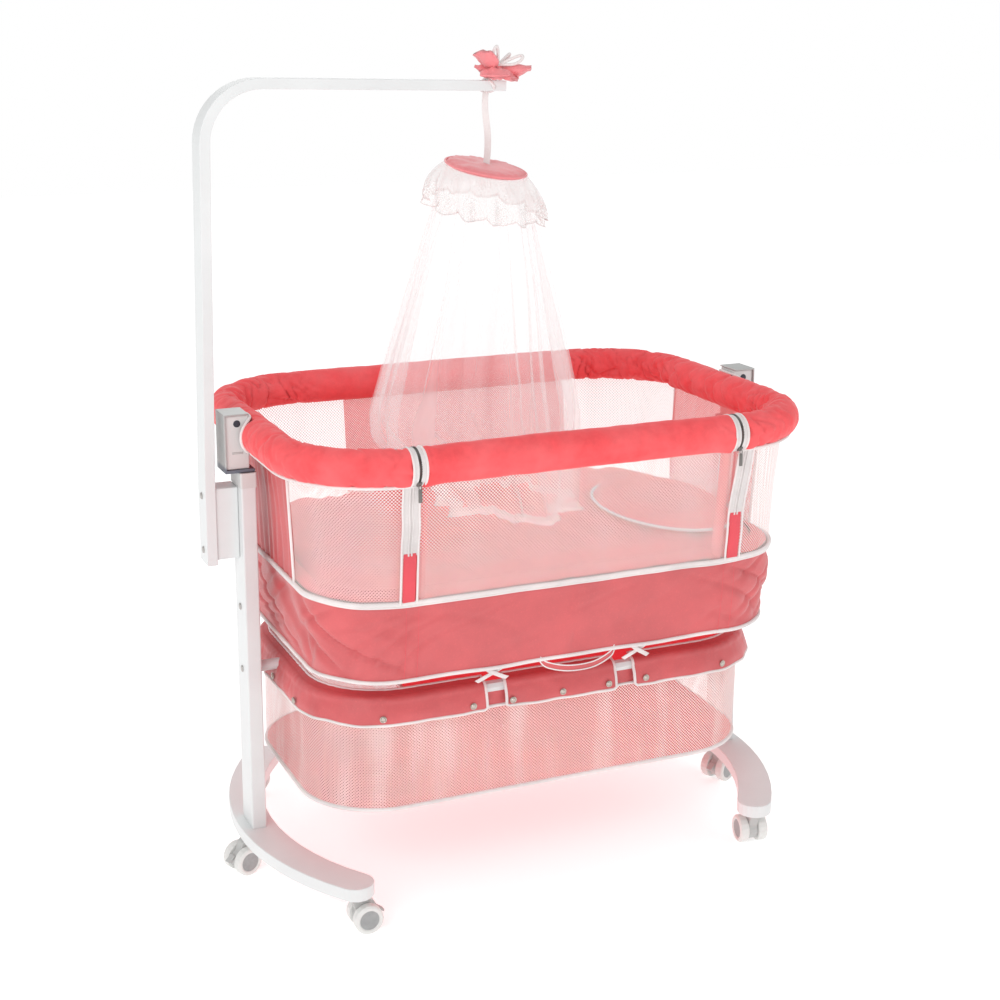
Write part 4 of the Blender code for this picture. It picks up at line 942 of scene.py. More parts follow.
def make_zip_strips():
    """White zip strip and coral ribbon below each zip, on the net, with sewn edges."""
    for side, label in ((-1, "left"), (1, "right")):
        x = side * (ZIP_X + (0.0075 if side > 0 else 0.0105))
        lean = 0.012 if side > 0 else 0.0
        split = HEM_Z + 0.088

        def upright(offset, low, high, out=0.003):
            line = []
            for k in range(13):
                z = lerp(low, high, k / 12)
                sway = 0.0012 * wobble(z * 22, side * 3.0, 1.0)
                sway += lean * smoothstep(split, WALL_TOP_Z, z)
                line.append((x + offset + sway, wall_front_y(z) - out, z))
            return line

        across = [(1, 0, 0)] * 13
        top = WALL_TOP_Z + 0.004
        place(strip(f"zip_strip_{label}", upright(0, split, top), across, 0.031, 0.0014, TAPE),
              "cradle", "white_mesh")
        place(strip(f"zip_ribbon_{label}", upright(0, HEM_Z, split + 0.004, 0.0038), across,
                    0.0225, 0.0014, PATCH_CLOTH), "cradle", "coral_satin")
        for offset, low, radius in ((-0.0150, HEM_Z, 0.0021), (0.0150, HEM_Z, 0.0021)):
            place(piping(f"zip_strip_edge_{label}_{'a' if offset < 0 else 'b'}",
                         upright(offset, low, top, 0.0042), radius), "cradle")
        # padded sleeve over the rail's leg, behind the net
        sleeve = [(side * (ZIP_X - 0.015), lerp(-0.3232, -RIM_Y, k / 12),
                   lerp(HEM_Z - 0.006, RIM_Z - 0.034, k / 12)) for k in range(13)]
        place(piping(f"leg_sleeve_{label}", sleeve, SLEEVE_R, QUILT_CLOTH), "drop_side",
              "coral_quilt")
        for offset in (-0.0028, 0.0028):
            place(piping(f"zip_strip_coil_{label}_{'a' if offset < 0 else 'b'}",
                         upright(offset, split, top, 0.0045), 0.0016, TAPE), "cradle")


def make_skirt():
    top, bottom = ring(HEM_X, HEM_Y), ring(HEM_X - SKIRT_IN_X, HEM_Y - SKIRT_IN_Y)
    rows = []
    steps = 36
    lengths = run_lengths(top)
    for r in range(steps + 1):
        t = r / steps
        row = []
        for i, (a, b) in enumerate(zip(bottom, top)):
            x, y = lerp(a[0], b[0], t), lerp(a[1], b[1], t)
            s = lengths[i]
            corner = smoothstep(0.24, 0.36, abs(a[0]))
            middle = math.sin(math.pi * t)
            belly = 0.0050 * middle * (0.7 + 0.6 * wobble(s * 3.1, 0.4, 9.0))
            # slack folds slanting across, deepest at the corners
            slant = s * 7.5 + t * 1.7 + 0.5 * wobble(s * 4, t * 1.2, 1.0)
            fold = max(0.0, 1 - abs(wobble(slant, t * 0.9, 4.0)) * 2.4) ** 1.6
            slant = s * 10 - t * 2.4 + 0.5 * wobble(s * 3, t * 1.5, 7.0)
            cross = max(0.0, 1 - abs(wobble(slant, t * 1.1, 14.0)) * 2.8) ** 1.6
            slack = 0.0022 + 0.0058 * corner
            crumple = (0.0012 + 0.0030 * corner) * wobble(s * 9, t * 2.2, 6.0)
            out = belly + (crumple - (fold + 0.7 * cross) * slack) * min(1.0, 1.6 * middle)
            row.append((x + a[2] * out, y + a[3] * out, lerp(SKIRT_Z, HEM_Z, t)))
        rows.append(row)
    skirt = grid("skirt_cloth", rows, SATIN_CLOTH, closed=True)
    thicken(skirt, 0.0012)
    place(skirt, "cradle", "coral_satin", ["skirt"])
    line = [(x + ox * 0.001, y + oy * 0.001, SKIRT_Z + 0.0015 * wobble(i * 0.05, 7.0, 2.0))
            for i, (x, y, ox, oy) in enumerate(bottom)]
    place(piping("skirt_piping", line, 0.0036, closed=True), "cradle")
    # double stitch lines down each sewn channel
    dashes = []
    for side in (-1, 1):
        for offset in (-0.0115, 0.0115):
            x = side * (ZIP_X + 0.003) + offset
            z = HEM_Z - 0.008
            while z > SKIRT_Z + 0.006:
                t = (z - SKIRT_Z) / (HEM_Z - SKIRT_Z)
                y = -lerp(HEM_Y - SKIRT_IN_Y, HEM_Y, t) - 0.0045 * math.sin(math.pi * t) - 0.0022
                dashes.append([(x, y, z), (x, y, z - 0.0026)])
                z -= 0.0040
    place(piping("skirt_stitches", dashes, 0.00045, PATCH_CLOTH, resolution=1), "cradle")


# ---- mattress and pillow ----
def puff(piece, voxel, frames, limit, pressure=4.0):
    """Inflates a closed mesh with a cloth simulation, and keeps its result as the mesh."""
    voxel_remesh(piece, voxel)
    mesh = piece.data
    start = [v.co.copy() for v in mesh.vertices]
    cloth = piece.modifiers.new("cloth", "CLOTH")
    cloth.settings.effector_weights.gravity = 0
    cloth.settings.use_pressure = True
    cloth.settings.uniform_pressure_force = pressure
    cloth.settings.quality = 4
    cloth.settings.tension_stiffness = 12
    cloth.settings.compression_stiffness = 12
    cloth.settings.bending_stiffness = 0.6
    cloth.point_cache.frame_start = 1
    cloth.point_cache.frame_end = frames
    scene = bpy.context.scene
    for step in range(1, frames + 1):
        scene.frame_set(step)
    moved = evaluated_mesh(piece)
    piece.modifiers.clear()
    scene.frame_set(1)
    for vertex, other, origin in zip(mesh.vertices, moved.vertices, start):
        shift = other.co - origin
        if shift.length > limit:
            shift *= limit / shift.length
        vertex.co = origin + shift
    mesh.shade_smooth()
    return piece


def cushion_mesh(name, outline, low, high, round_over, material, rings_in=5):
    """A closed pad over an outline, rounded at its edge; outline is (x, y, out_x, out_y)."""
    half = (high - low) / 2
    middle = (low + high) / 2
    rows = []
    for k in range(2 * rings_in + 1):
        angle = -math.pi / 2 + math.pi * k / (2 * rings_in)
        inset = round_over * (1 - math.cos(angle))
        z = middle + half * math.sin(angle)
        rows.append([(x - ox * inset, y - oy * inset, z) for x, y, ox, oy in outline])
    piece = grid(name, rows, material, closed=True)
    close_ends(piece, len(outline))
    return piece


def sew(piece, top_only_above, channels, depth, width):
    """Presses sewn channels into a pad's upper side; channels(x, y) is the distance to
    the nearest seam."""
    for vertex in piece.data.vertices:
        if vertex.co.z > top_only_above:
            near = channels(vertex.co.x, vertex.co.y)
            vertex.co.z -= depth * math.exp(-(near / width) ** 2)


def make_mattress():
    half_x = (mattress_high[0] - mattress_low[0]) / 2
    half_y = mattress_high[1]
    low = mattress_low[2] + 0.001
    high = MATTRESS_TOP - 0.004
    outline = ring(half_x + 0.001, half_y + 0.001, 0.012)
    pad = cushion_mesh("mattress_pad", outline, low, high, 0.016, QUILT_CLOTH)
    puff(pad, 0.007, 14, 0.006)

    def seams(x, y):
        u = (x + 0.5 * y) / QUILT_PITCH
        v = (x - 0.5 * y) / QUILT_PITCH
        return min(abs(u - round(u)), abs(v - round(v))) * QUILT_PITCH * 0.7

    sew(pad, (low + high) / 2, seams, 0.0065, 0.011)
    floor_z = mattress_low[2]
    for vertex in pad.data.vertices:
        vertex.co.z = max(vertex.co.z, floor_z)
        vertex.co.z = min(vertex.co.z, MATTRESS_TOP + 0.003)
    place(pad, "cradle", "coral_quilt", ["mattress"])
    # cloth that fills the margin between the mattress and the wall's foot
    inner, outer = ring(half_x - 0.004, half_y - 0.004), ring(HEM_X - 0.004, HEM_Y - 0.004)
    rows = []
    for k in range(7):
        t = k / 6
        rows.append([(lerp(a[0], b[0], t), lerp(a[1], b[1], t),
                      HEM_Z + 0.014 - 0.010 * t * t + 0.0012 * wobble(i * 0.12, t * 3, 2.0))
                     for i, (a, b) in enumerate(zip(inner, outer))])
    border = grid("mattress_border", rows, QUILT_CLOTH, closed=True)
    place(border, "cradle", "coral_quilt")


def make_pillow():
    cx = (pillow_low[0] + pillow_high[0]) / 2 - MID_X
    cy = (pillow_low[1] + pillow_high[1]) / 2
    half_x = (pillow_high[0] - pillow_low[0]) / 2
    half_y = (pillow_high[1] - pillow_low[1]) / 2
    outline = []
    for _, c, s in circle(96):
        x, y = half_x * 0.97 * c, half_y * 0.97 * s
        out = Vector((c / half_x, s / half_y)).normalized()
        outline.append((cx + x, cy + y, out.x, out.y))
    low, high = pillow_low[2] + 0.002, pillow_high[2] - 0.007
    pad = cushion_mesh("pillow_pad", outline, low, high, 0.012, QUILT_CLOTH, 4)
    puff(pad, 0.005, 12, 0.012, 5.0)

    def seams(x, y):
        r = math.hypot((x - cx) / half_x, (y - cy) / half_y)
        return min(abs(r - 0.62) * 0.16, abs(r - 0.90) * 0.2)

    sew(pad, (low + high) / 2 - 0.002, seams, 0.0070, 0.0060)
    for vertex in pad.data.vertices:
        vertex.co.z = max(vertex.co.z, pillow_low[2])
        vertex.co.z = min(vertex.co.z, pillow_high[2] + 0.006)
    place(pad, "cradle", "coral_quilt", ["pillow"])
    line = [(x, y, (low + high) / 2) for x, y, ox, oy in outline]
    place(piping("pillow_piping", line, 0.0030, PIPING, closed=True), "cradle")


# ---- lower frame, flaps, basket ----
def frame_ring(extra, pitch=0.006, inset_y=0.0):
    return ring(FRAME_X + extra, FRAME_Y + extra - inset_y, pitch,
                radius=FRAME_CORNER + max(extra, -0.02))


def flap_sheet(name, indices, loop):
    """Cloth over the tube: up its inside a little, over the top and down outside."""
    profile = []
    for angle in range(120, -1, -12):
        a = math.radians(angle)
        r = FRAME_R + 0.0022 + 0.0075 * smoothstep(92, 120, angle)
        profile.append((r * math.cos(a), r * math.sin(a)))
    for k in range(1, 11):
        t = k / 10
        profile.append((FRAME_R + 0.0022 + 0.0085 * math.sin(t * math.pi * 0.55), -FLAP_DROP * t))
    rows = []
    for p, (out, up) in enumerate(profile):
        row = []
        for i in indices:
            x, y, ox, oy = loop[i % len(loop)]
            hang = smoothstep(10, len(profile) - 1, p)
            wave = 0.0028 * hang * wobble(i * 0.16, p * 0.12, 3.3)
            tight = 0.0010 * (1 - hang) * wobble(i * 0.5, p * 0.2, 6.0)
            row.append((x + ox * (out + wave + tight), y + oy * (out + wave + tight),
                        FRAME_Z + up + 0.0016 * hang * wobble(i * 0.08, 2.0, 4.0)))
        rows.append(row)
    piece = grid(name, rows, SATIN_CLOTH)
    thicken(piece, 0.0012, 0.0)
    length = sum(math.hypot(loop[b % len(loop)][0] - loop[a % len(loop)][0],
                            loop[b % len(loop)][1] - loop[a % len(loop)][1])
                 for a, b in zip(indices, indices[1:]))
    return piece, rows, length


def make_flaps():
    loop = frame_ring(0.0)
    count = len(loop)
    near = FLAP_SPLIT - FLAP_GAP / 2
    far = FLAP_SPLIT + FLAP_GAP / 2
    front_right = next(i for i, p in enumerate(loop) if p[0] > far)
    front_left = max(i for i, p in enumerate(loop) if p[1] < 0 and p[0] < -far)
    back_right = max(i for i, p in enumerate(loop) if p[1] > 0 and p[0] > far)
    back_left = next(i for i, p in enumerate(loop) if p[1] > 0 and p[0] < -far)
    half = [i for i in range(count) if abs(loop[i][0]) < near and loop[i][1] < 0]
    left_part = [i for i in half if loop[i][0] < -0.0001]
    right_part = [i for i in half if loop[i][0] >= -0.0001]
    middle_front = left_part + [i + count for i in right_part]
    back_half = [i for i in range(count) if abs(loop[i][0]) < near and loop[i][1] > 0]
    layout = [
        ("front", middle_front, ["flap_front"]),
        ("right", list(range(front_right, back_right + 1)), ["flap_right"]),
        ("back", back_half, ["flap_back"]),
        ("left", list(range(back_left, front_left + 1)), ["flap_left"]),
    ]
    snaps = []
    for name, indices, nodes in layout:
        piece, rows, length = flap_sheet(f"flap_cloth_{name}", indices, loop)
        left, right = [row[0] for row in rows], [row[-1] for row in rows]
        edge = rows[-1]
        place(piece, "stand", "coral_satin", nodes)
        border = left[:-1] + edge[1:-1] + list(reversed(right))[1:] + list(reversed(rows[0]))[1:-1]
        place(piping(f"flap_piping_{name}", border, 0.0028, closed=True), "stand")
        total = len(edge)
        if name in ("front", "back"):
            picks = (0.06, 0.50, 0.94)
        else:
            picks = (0.02, 0.17, 0.34, 0.50, 0.66, 0.83, 0.98)
        for share in picks:
            i = indices[min(total - 1, int(share * (total - 1)))] % count
            x, y, ox, oy = loop[i]
            snaps.append((x + ox * 0.0232, y + oy * 0.0232, FRAME_Z - 0.024, ox, oy))
    for k, (x, y, z, ox, oy) in enumerate(snaps):
        profile = [(0.0001, 0.0022), (0.0030, 0.0020), (0.0042, 0.0010), (0.0050, 0.0016),
                   (0.0062, 0.0012), (0.0065, 0.0), (0.0060, -0.0012), (0.0001, -0.0012)]
        place(turned(f"snap_{k}", profile, SNAP, (x, y, z), (ox, oy, 0), 24), "stand")


def make_basket():
    rows = 34
    rings_list = []
    for r in range(rows + 1):
        t = r / rows
        z = lerp(BASKET_Z, FRAME_Z - 0.004, t)
        inset = 0.012 * (1 - t)
        loop = ring(FRAME_X + 0.004, FRAME_Y + 0.004 - inset, 0.006,
                    radius=FRAME_CORNER)
        lengths = run_lengths(loop)
        row = []
        for i, (x, y, ox, oy) in enumerate(loop):
            s = lengths[i]
            sag = 0.006 * math.sin(math.pi * t) * (0.5 + wobble(s * 2.2, 0.7, 8.0))
            fold = 0.0032 * math.sin(math.pi * (0.15 + 0.85 * (1 - t))) * wobble(
                s * 12 + 0.5 * wobble(s * 3, t * 2, 0.3), t * 0.8, 2.0)
            out = -sag * 0.6 + fold
            row.append((x + ox * out, y + oy * out, z))
        rings_list.append(row)
    wall = grid("basket_net", rings_list, BASKET_NET, closed=True)
    place(wall, "stand", "white_mesh", ["basket"])
    lengths = run_lengths(loop)
    # coral cloth floor, sagging between its edges
    bottom = rings_list[0]
    floor_rows = []
    for k in range(13):
        t = k / 12
        row = []
        for (x, y, z) in bottom:
            dip = 0.004 * wobble(x * 6, y * 6, 2.5) * (1 - (1 - t) ** 3)
            row.append((x * (1 - t * 0.985), y * (1 - t * 0.985), z + 0.003 + dip))
        floor_rows.append(row)
    floor = grid("basket_floor", floor_rows, FLOOR_CLOTH, closed=True)
    place(floor, "stand", "coral_quilt")
    line = [(x, y, z) for x, y, z in bottom]
    place(piping("basket_piping", line, 0.0040, closed=True), "stand")
    band_rows = []
    upper = ring(FRAME_X + 0.007, FRAME_Y + 0.007, 0.006, radius=FRAME_CORNER)
    for k in range(7):
        z = FRAME_Z - 0.006 - 0.030 * k / 6
        band_rows.append([(x + ox * 0.001 * wobble(i * 0.2, k, 1.0),
                           y + oy * 0.001 * wobble(i * 0.2, k, 1.0), z)
                          for i, (x, y, ox, oy) in enumerate(upper)])
    band = grid("basket_band", band_rows, SATIN_CLOTH, closed=True)
    place(band, "stand", "coral_satin")
    place(piping("basket_band_piping", band_rows[-1], 0.0030, closed=True), "stand")


def make_basket_cover():
    """Coral cloth lid laid across the lower frame, with a mesh part at the left."""
    def lid(name, x0, x1, material, slot):
        half_y = FRAME_Y - FRAME_R - 0.002
        half_x = FRAME_X - FRAME_R - 0.002
        radius = FRAME_CORNER - FRAME_R
        rows = []
        for r in range(37):
            x = lerp(x0, x1, r / 36)
            beyond = max(0.0, abs(x) - (half_x - radius))
            reach = half_y - radius + math.sqrt(max(0.0, radius ** 2 - beyond ** 2))
            row = []
            for k in range(41):
                t = 2 * k / 40 - 1
                y = t * reach
                puff = 0.010 * (1 - t * t) + 0.004 * (1 - t ** 4) * wobble(x * 7, y * 7, 3.0)
                crease = max(0.0, 1 - abs(wobble(x * 11 + y * 4, y * 5, 8.0)) * 4) * 0.003
                row.append((x, y, FRAME_Z + 0.004 + puff - crease * (1 - t * t)))
            rows.append(row)
        piece = grid(name, rows, material)
        place(piece, "stand", slot)
        return rows

    edge_x = FRAME_X - FRAME_R - 0.004
    rows = lid("basket_cover", -0.290, edge_x, COVER_CLOTH, "coral_satin")
    place(piping("basket_cover_piping", rows[0], 0.0032), "stand")
    lid("basket_cover_mesh", -edge_x, -0.292, WALL_NET, "white_mesh")


# ---- net, lace, crown and bow ----
FOLDS = [(9, 0.3, 0.52), (14, 1.9, 0.40), (25, 1.1, 0.24), (5, 2.0, 0.28), (37, 0.4, 0.10)]


def make_tulle():
    top = CROWN_Z - 0.004
    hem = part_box("net_drape")[0][2]
    steps, rows = 480, []
    levels = 70
    for r in range(levels + 1):
        t = r / levels
        z = lerp(hem, top, t)
        spread = (top - z) / (top - hem)
        u = min(1.0, (top - z) / (top - RIM_Z))
        below = smoothstep(RIM_Z - 0.035, hem + 0.01, z)
        radius = lerp(0.072, 0.186, u ** 0.92) - 0.062 * below
        shift = -0.030 * u + 0.066 * below
        amplitude = 0.004 + 0.021 * min(1.0, spread * 1.7)
        row = []
        for a, c, s in circle(steps):
            swirl = a + 0.10 * math.sin(spread * 3) + 0.07 * wobble(
                c * 1.3, s * 1.3, spread * 2)
            wave = sum(weight * math.sin(count * swirl + turn) for count, turn, weight in FOLDS)
            wave = math.copysign(abs(wave) ** 0.8, wave)
            reach = radius + amplitude * wave
            frill = smoothstep(0.035, 0.0, z - hem)
            reach += 0.006 * frill * math.sin(a * 26 + 2.2 * wobble(a * 3, 0.0, 2.0))
            lift = 0.010 * smoothstep(0.2, 0.0, z - hem) * wobble(c * 1.6, s * 1.6, 0.5)
            x, y = reach * c, reach * s
            drop = (1 - spread) ** 3 * (0.12 * x - 0.16 * y)
            row.append((NET_X + shift + x, NET_Y + y, z - drop + lift))
        rows.append(row)
    drape = grid("tulle_drape", rows, TULLE, closed=True)
    place(drape, "stand", "white_lace", ["net_drape"])
    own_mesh(drape)
    # ruffled hem tape
    tape_rows = []
    for lift, out in ((-0.005, 0.005), (0.003, 0.0), (0.011, -0.002)):
        tape_rows.append([(x + out * (x - NET_X) / 0.12, y + out * (y - NET_Y) / 0.12, z + lift)
                          for x, y, z in rows[0]])
    tape = grid("tulle_hem_tape", tape_rows, HEM_LACE, closed=True)
    place(tape, "stand", "white_lace")
    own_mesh(tape)


def make_lace():
    steps, scallops, levels = 624, 13, 26
    rows = []
    for r in range(levels + 1):
        t = r / levels
        row = []
        for a, c, s in circle(steps):
            scallop = abs(math.sin(a * scallops / 2)) ** 0.7
            drop = lerp(0.0, 0.066 + 0.013 * scallop, t)
            ruffle = t * (0.009 * math.sin(a * scallops + 0.9 * math.sin(3 * a))
                          + 0.003 * math.sin(a * 31 + 1.0))
            flare = 0.036 * math.sin(min(1.0, t * 1.15) * math.pi / 2) ** 0.8
            reach = 0.079 + flare + ruffle
            row.append(tilt_point(reach * c + 0.012 * t, reach * s, -0.003 - drop))
        rows.append(row)
    middle = rows[levels // 2]
    around = path_length(middle)
    cut = lace_material("white_lace_cut", (0.93, 0.91, 0.90), around / scallops)
    lace = grid("lace_ruffle", list(reversed(rows)), cut, closed=True)
    place(lace, "stand", "white_lace", ["net_lace"])
    place(piping("lace_edge", rows[-1], 0.0010, closed=True), "stand")


CROWN_TURN = Matrix.Rotation(math.radians(7.0), 3, "Y") @ Matrix.Rotation(
    math.radians(10.0), 3, "X")


def tilt_point(x, y, z):
    """A point of the crown, whose disc hangs low at its right and front."""
    return tuple(CROWN_TURN @ Vector((x, y, z)) + Vector((NET_X, NET_Y, CROWN_Z)))


def make_crown():
    rows = []
    steps = 72
    profile = [(0.002, 0.0085), (0.020, 0.0080), (0.040, 0.0078), (0.058, 0.0070),
               (0.070, 0.0045), (0.0765, 0.0), (0.070, -0.0050), (0.040, -0.0060),
               (0.002, -0.0060)]
    fine = []
    for (r0, z0), (r1, z1) in zip(profile, profile[1:]):
        for k in range(4):
            fine.append((lerp(r0, r1, k / 4), lerp(z0, z1, k / 4)))
    fine.append(profile[-1])
    for radius, z in fine:
        row = []
        for a, c, s in circle(steps):
            pucker = 0.0012 * math.sin(a * 24) * smoothstep(0.045, 0.074, radius)
            dimple = 0.0016 * wobble(radius * 40 * c, radius * 40 * s, 1.0)
            row.append(tilt_point(radius * c, radius * s,
                                  z + (dimple + pucker if z > 0 else 0)))
        rows.append(row)
    crown = grid("crown_pad", rows, CROWN_CLOTH, closed=True)
    place(crown, "stand", "coral_satin", ["net_crown"])
    edge = [tilt_point(CROWN_EDGE_R * c, CROWN_EDGE_R * s, 0.001) for _, c, s in circle(72)]
    place(piping("crown_piping", edge, 0.0022, CROWN_CLOTH, closed=True), "stand")
    # strap from the disc to the arm: two flat cords tied in a small knot
    low = Vector(tilt_point(0, 0, 0.006))
    high = Vector((NET_X + 0.002, NET_Y, strap_high[2] + 0.004))
    path, across = [], []
    for k in range(17):
        t = k / 16
        path.append(low.lerp(high, t) + Vector((0.003 * math.sin(t * 6.0),
                                                0.001 * math.sin(t * 9), 0)))
        across.append((math.cos(0.9 * t - 0.7), math.sin(0.9 * t - 0.7), 0))
    strap = strip("crown_strap", path, across, STRAP_WIDTH, 0.0022, PIPING)
    place(strap, "stand", "white_lace", ["net_strap"])
    loop = []
    for k in range(24):
        t = math.tau * k / 24
        loop.append((NET_X + 0.002 + 0.004 * math.sin(2 * t), NET_Y + 0.0305 * math.cos(t),
                     strap_high[2] + 0.0115 + 0.0125 * math.sin(t)))
    place(piping("strap_loop", loop, 0.0030, PIPING, closed=True), "stand")


def bow_loop(name, base, tip, width, height, material, seed):
    """One puffed fold of a bow: narrow at the knot, widest past its middle, creased."""
    base, tip = Vector(base), Vector(tip)
    run = (tip - base)
    length = run.length
    run.normalize()
    side = run.cross(Vector((0, 0, 1))).normalized()
    rise = side.cross(run)
    rows = []
    for r in range(25):
        t = r / 24
        spread = 0.22 + 0.78 * smoothstep(0.0, 0.62, t)
        tall = (0.35 + 0.65 * smoothstep(0.0, 0.45, t)) * (1 - 0.65 * smoothstep(0.6, 1.0, t))
        row = []
        for _, c, s in circle(BOW_AROUND):
            crease = max(0.0, 1 - abs(wobble(c * 2.6, seed, t * 0.6)) * 4)
            y = width / 2 * spread * c
            z = height / 2 * tall * s * (1 - 0.5 * crease * (1 - 0.5 * t))
            z += 0.003 * wobble(c * 2, t * 2.5, seed) * t
            x = length * t - 0.006 * abs(c) ** 3 * t
            row.append(base + run * x + side * y + rise * z)
        rows.append(row)
    piece = grid(name, rows, material, closed=True)
    close_ends(piece, BOW_AROUND, reverse_first=False)
    return piece


def make_bow():
    x = (bow_low[0] + bow_high[0]) / 2 - MID_X
    y = (bow_low[1] + bow_high[1]) / 2
    z = pole_high[2] + 0.008
    centre = Vector((x - 0.006, y - 0.010, z + 0.001))
    parts = (("left", (-0.034, -0.014, 0.034), 0.052, 0.020, 1.0),
             ("front", (-0.016, -0.034, -0.010), 0.056, 0.022, 4.0),
             ("under", (0.030, -0.030, -0.016), 0.040, 0.018, 5.5),
             ("right", (0.066, -0.008, 0.002), 0.050, 0.024, 7.0),
             ("back", (-0.016, 0.036, 0.004), 0.046, 0.020, 9.0))
    for label, tip, width, height, seed in parts:
        loop = bow_loop(f"bow_fold_{label}", centre, centre + Vector(tip), width, height,
                        CROWN_CLOTH, seed)
        place(loop, "stand", "coral_satin", ["pole_bow"] if label == "left" else ())
    knot = [(0.0002, -0.008), (0.006, -0.008), (0.0095, -0.003), (0.010, 0.003),
            (0.007, 0.009), (0.0002, 0.010)]
    place(turned("bow_knot", knot, CROWN_CLOTH, centre + Vector((0, -0.004, 0.004)),
                 (0.2, -0.3, 1), 28), "stand", "coral_satin")
    for label, tip, tall in (("left", (-0.012, -0.012, 0.030), 0.013),
                             ("right", (0.040, -0.020, 0.012), 0.012),
                             ("back", (0.026, 0.010, 0.016), 0.010)):
        path = []
        for k in range(29):
            t = math.tau * k / 28
            grow = math.sin(t / 2) ** 0.8
            path.append((centre.x + tip[0] * grow + 0.004 * math.sin(t),
                         centre.y - 0.012 + tip[1] * grow,
                         centre.z + 0.010 + tip[2] * grow + tall * math.sin(t) * 0.6))
        place(piping(f"bow_ribbon_{label}", path, 0.0029, PIPING), "stand", "white_lace")


# ---- ribbons, handle loop and inner panel below the cradle ----
def make_underside():
    inner_z = SKIRT_Z + 0.006
    outline = ring(HEM_X - 0.020, HEM_Y - 0.030, 0.010)
    rows = []
    for k in range(9):
        t = k / 8
        rows.append([(x * (1 - t * 0.98), y * (1 - t * 0.98),
                      inner_z - 0.016 * math.sin(math.pi * min(1, t * 1.2)) * 0.4
                      + 0.003 * wobble(x * 8, y * 8, 1.0)) for x, y, ox, oy in outline])
    under = grid("cradle_underside", rows, PATCH_CLOTH, closed=True)
    place(under, "cradle", "coral_satin")


def ribbon(name, points, width, material, body, sideways=(1, 0, 0), thickness=0.0012):
    """A flat ribbon through a few points, smoothed along its run."""
    path = []
    for a, b, c, d in zip([points[0]] + points[:-2], points[:-1], points[1:],
                          points[2:] + [points[-1]]):
        for k in range(8):
            t = k / 8
            path.append(tuple(0.5 * (2 * q + (r - p) * t + (2 * p - 5 * q + 4 * r - u) * t * t
                                     + (3 * q - p - 3 * r + u) * t ** 3)
                              for p, q, r, u in zip(a, b, c, d)))
    path.append(points[-1])
    piece = strip(name, path, [sideways] * len(path), width, thickness, material)
    place(piece, body)
    return path


def make_ties():
    """Ribbon ties and a cloth handle hanging from the skirt's edge at the front."""
    top = SKIRT_Z + 0.004
    front = -(HEM_Y - SKIRT_IN_Y)
    for k, (x, spread) in enumerate(((-0.148, 0.030), (0.142, 0.026))):
        for turn in (-1, 1):
            points = [(x - turn * spread, front + 0.004, top + 0.003),
                      (x - turn * spread * 0.3, front + 0.008 - 0.003 * turn, top - 0.014),
                      (x + turn * spread * 0.5, front + 0.014 - 0.003 * turn, top - 0.028),
                      (x + turn * spread, front + 0.022, top - 0.037)]
            ribbon(f"tie_{k}_{'a' if turn < 0 else 'b'}", points, 0.0085, PIPING, "cradle",
                   (0.8, 0, 0.6 * turn))
    points = [(-0.066, front + 0.003, top + 0.002), (-0.052, front - 0.002, top - 0.014),
              (-0.010, front - 0.005, top - 0.026), (0.040, front - 0.005, top - 0.026),
              (0.078, front - 0.002, top - 0.012), (0.088, front + 0.003, top + 0.003)]
    path = ribbon("handle_ribbon", points, 0.0110, SATIN_CLOTH, "cradle", (0.15, 0, 1))
    for sign, label in ((-1, "low"), (1, "high")):
        line = [(x, y - 0.0012, z + sign * 0.0052) for x, y, z in path]
        place(piping(f"handle_edge_{label}", line, 0.0012), "cradle")


# ---- hard parts ----
def wheel_material(name, record):
    """White tread and side walls round a recessed grey hub, by distance from the axle."""
    joint = next(j for j in record["behaviour"]["joints"]
                 if j["child"] == name.replace("caster_wheels", "wheels")
                 and j["name"].startswith("roll"))
    centre, axle = Vector(joint["pos_m"]), Vector(joint["axis"]).normalized()
    heading = Vector((-axle.y, axle.x, 0))
    n = Nodes(name + "_finish")
    place = n.place(False)
    ahead = n.add("VectorMath", operation="DOT_PRODUCT")
    n.link(n.vector("SUBTRACT", place, centre), ahead.inputs[0])
    ahead.inputs[1].default_value = heading
    split = n.add("SeparateXYZ")
    n.link(place, split.inputs[0])
    rise = n.math("SUBTRACT", split.outputs[2], centre.z)
    reach = n.math("SQRT", n.math("ADD", n.math("MULTIPLY", ahead.outputs["Value"],
                                                ahead.outputs["Value"]),
                                  n.math("MULTIPLY", rise, rise)))
    hub = n.ramp(reach, 0.0176, 0.0182, 1.0, 0.0)
    scuff = n.noise(place, 110, 4, 0.6)
    tyre = n.mix(n.ramp(scuff, 0.5, 0.8, 0, 0.35), (0.74, 0.74, 0.72), (0.52, 0.51, 0.49))
    grey = n.mix(n.ramp(scuff, 0.3, 0.7, 0, 1), (0.30, 0.31, 0.31), (0.37, 0.38, 0.38))
    n.colour(n.mix(hub, tyre, grey))
    n.rough(scuff, 0.38, 0.55)
    n.bump(scuff, 0.12, 0.0004)
    return n.material


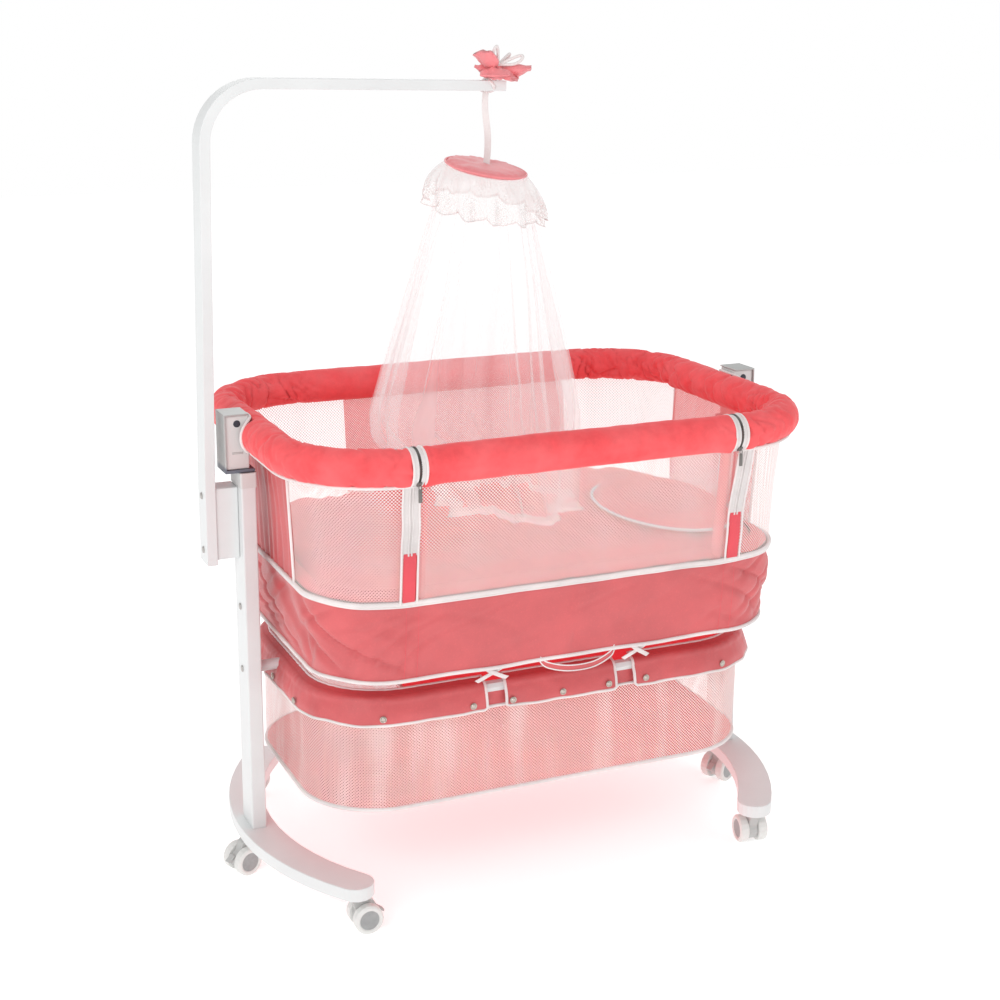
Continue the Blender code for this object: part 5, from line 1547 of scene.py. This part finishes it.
def make_pivot_details():
    """Dark cap on each housing's front, and the slot of the latch on its top."""
    for label in ("left", "right"):
        low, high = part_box(f"pivot_housing_{label}")
        x = (low[0] + high[0]) / 2 - MID_X
        profile = [(0.0001, 0.0016), (0.0038, 0.0016), (0.0046, 0.0008), (0.0060, 0.0008),
                   (0.0066, 0.0), (0.0066, -0.0010), (0.0001, -0.0010)]
        for end, y in ((-1, low[1]), (1, high[1])):
            place(turned(f"pivot_cap_{label}_{'front' if end < 0 else 'back'}", profile, DARK,
                         (x, y, RIM_Z + 0.024), (0, end, 0), 28), f"lift_{label}")
            place(rounded_box(f"latch_slot_{label}_{'front' if end < 0 else 'back'}",
                              (0.020, 0.0016, 0.0040), (x, y, RIM_Z - 0.030), GREY, 0.0006),
                  f"lift_{label}")


def make_hard_parts():
    finish = {
        "white_paint": PAINT, "white_lacquer": LACQUER, "white_tube": PAINT,
        "white_plastic": PLASTIC, "grey_plastic": GREY, "slate_metal": SLATE,
        "steel": STEEL, "board": BOARD,
    }
    slots = {part["node"]: part["material_slot"] for part in frame["record"]["subparts"]}
    for name, node in frame["nodes"].items():
        material = finish.get(slots[name])
        if name.startswith("caster_wheels"):
            material = wheel_material(name, frame["record"])
        if material:
            node.data.materials.clear()
            node.data.materials.append(material)


PANEL_NET = net_material("coral_panel_net", (0.88, 0.28, 0.28), 0.0050, 0.190)
FLOOR_CLOTH = weave_material("coral_floor_cloth", (0.94, 0.13, 0.14), 0.0012, 0.80, 0.12)
HEM_LACE = tulle_material("white_hem_ruffle", (0.93, 0.88, 0.87), 0.62)
COVER_CLOTH = weave_material("coral_lining_painted_glow", (0.98, 0.075, 0.095), 0.0010, 0.6, 0.3)
# painted light: the lid's coral emission stands in for light shining through the thin cloth from
# behind; the lid is no lamp
COVER_CLOTH.node_tree.nodes["Principled BSDF"].inputs["Emission Color"].default_value = (
    0.98, 0.06, 0.08, 1.0)
COVER_CLOTH.node_tree.nodes["Principled BSDF"].inputs["Emission Strength"].default_value = 0.3
CROWN_CLOTH = weave_material("coral_crown_satin", (0.95, 0.29, 0.31), 0.0010, 0.50, 0.35)

stage_set()
make_hard_parts()
make_pivot_details()
make_rim()
make_zips()
make_walls()
make_zip_strips()
make_skirt()
make_mattress()
make_pillow()
make_flaps()
make_basket()
make_basket_cover()
make_underside()
make_ties()
make_tulle()
make_lace()
make_crown()
make_bow()

bpy.context.view_layer.update()
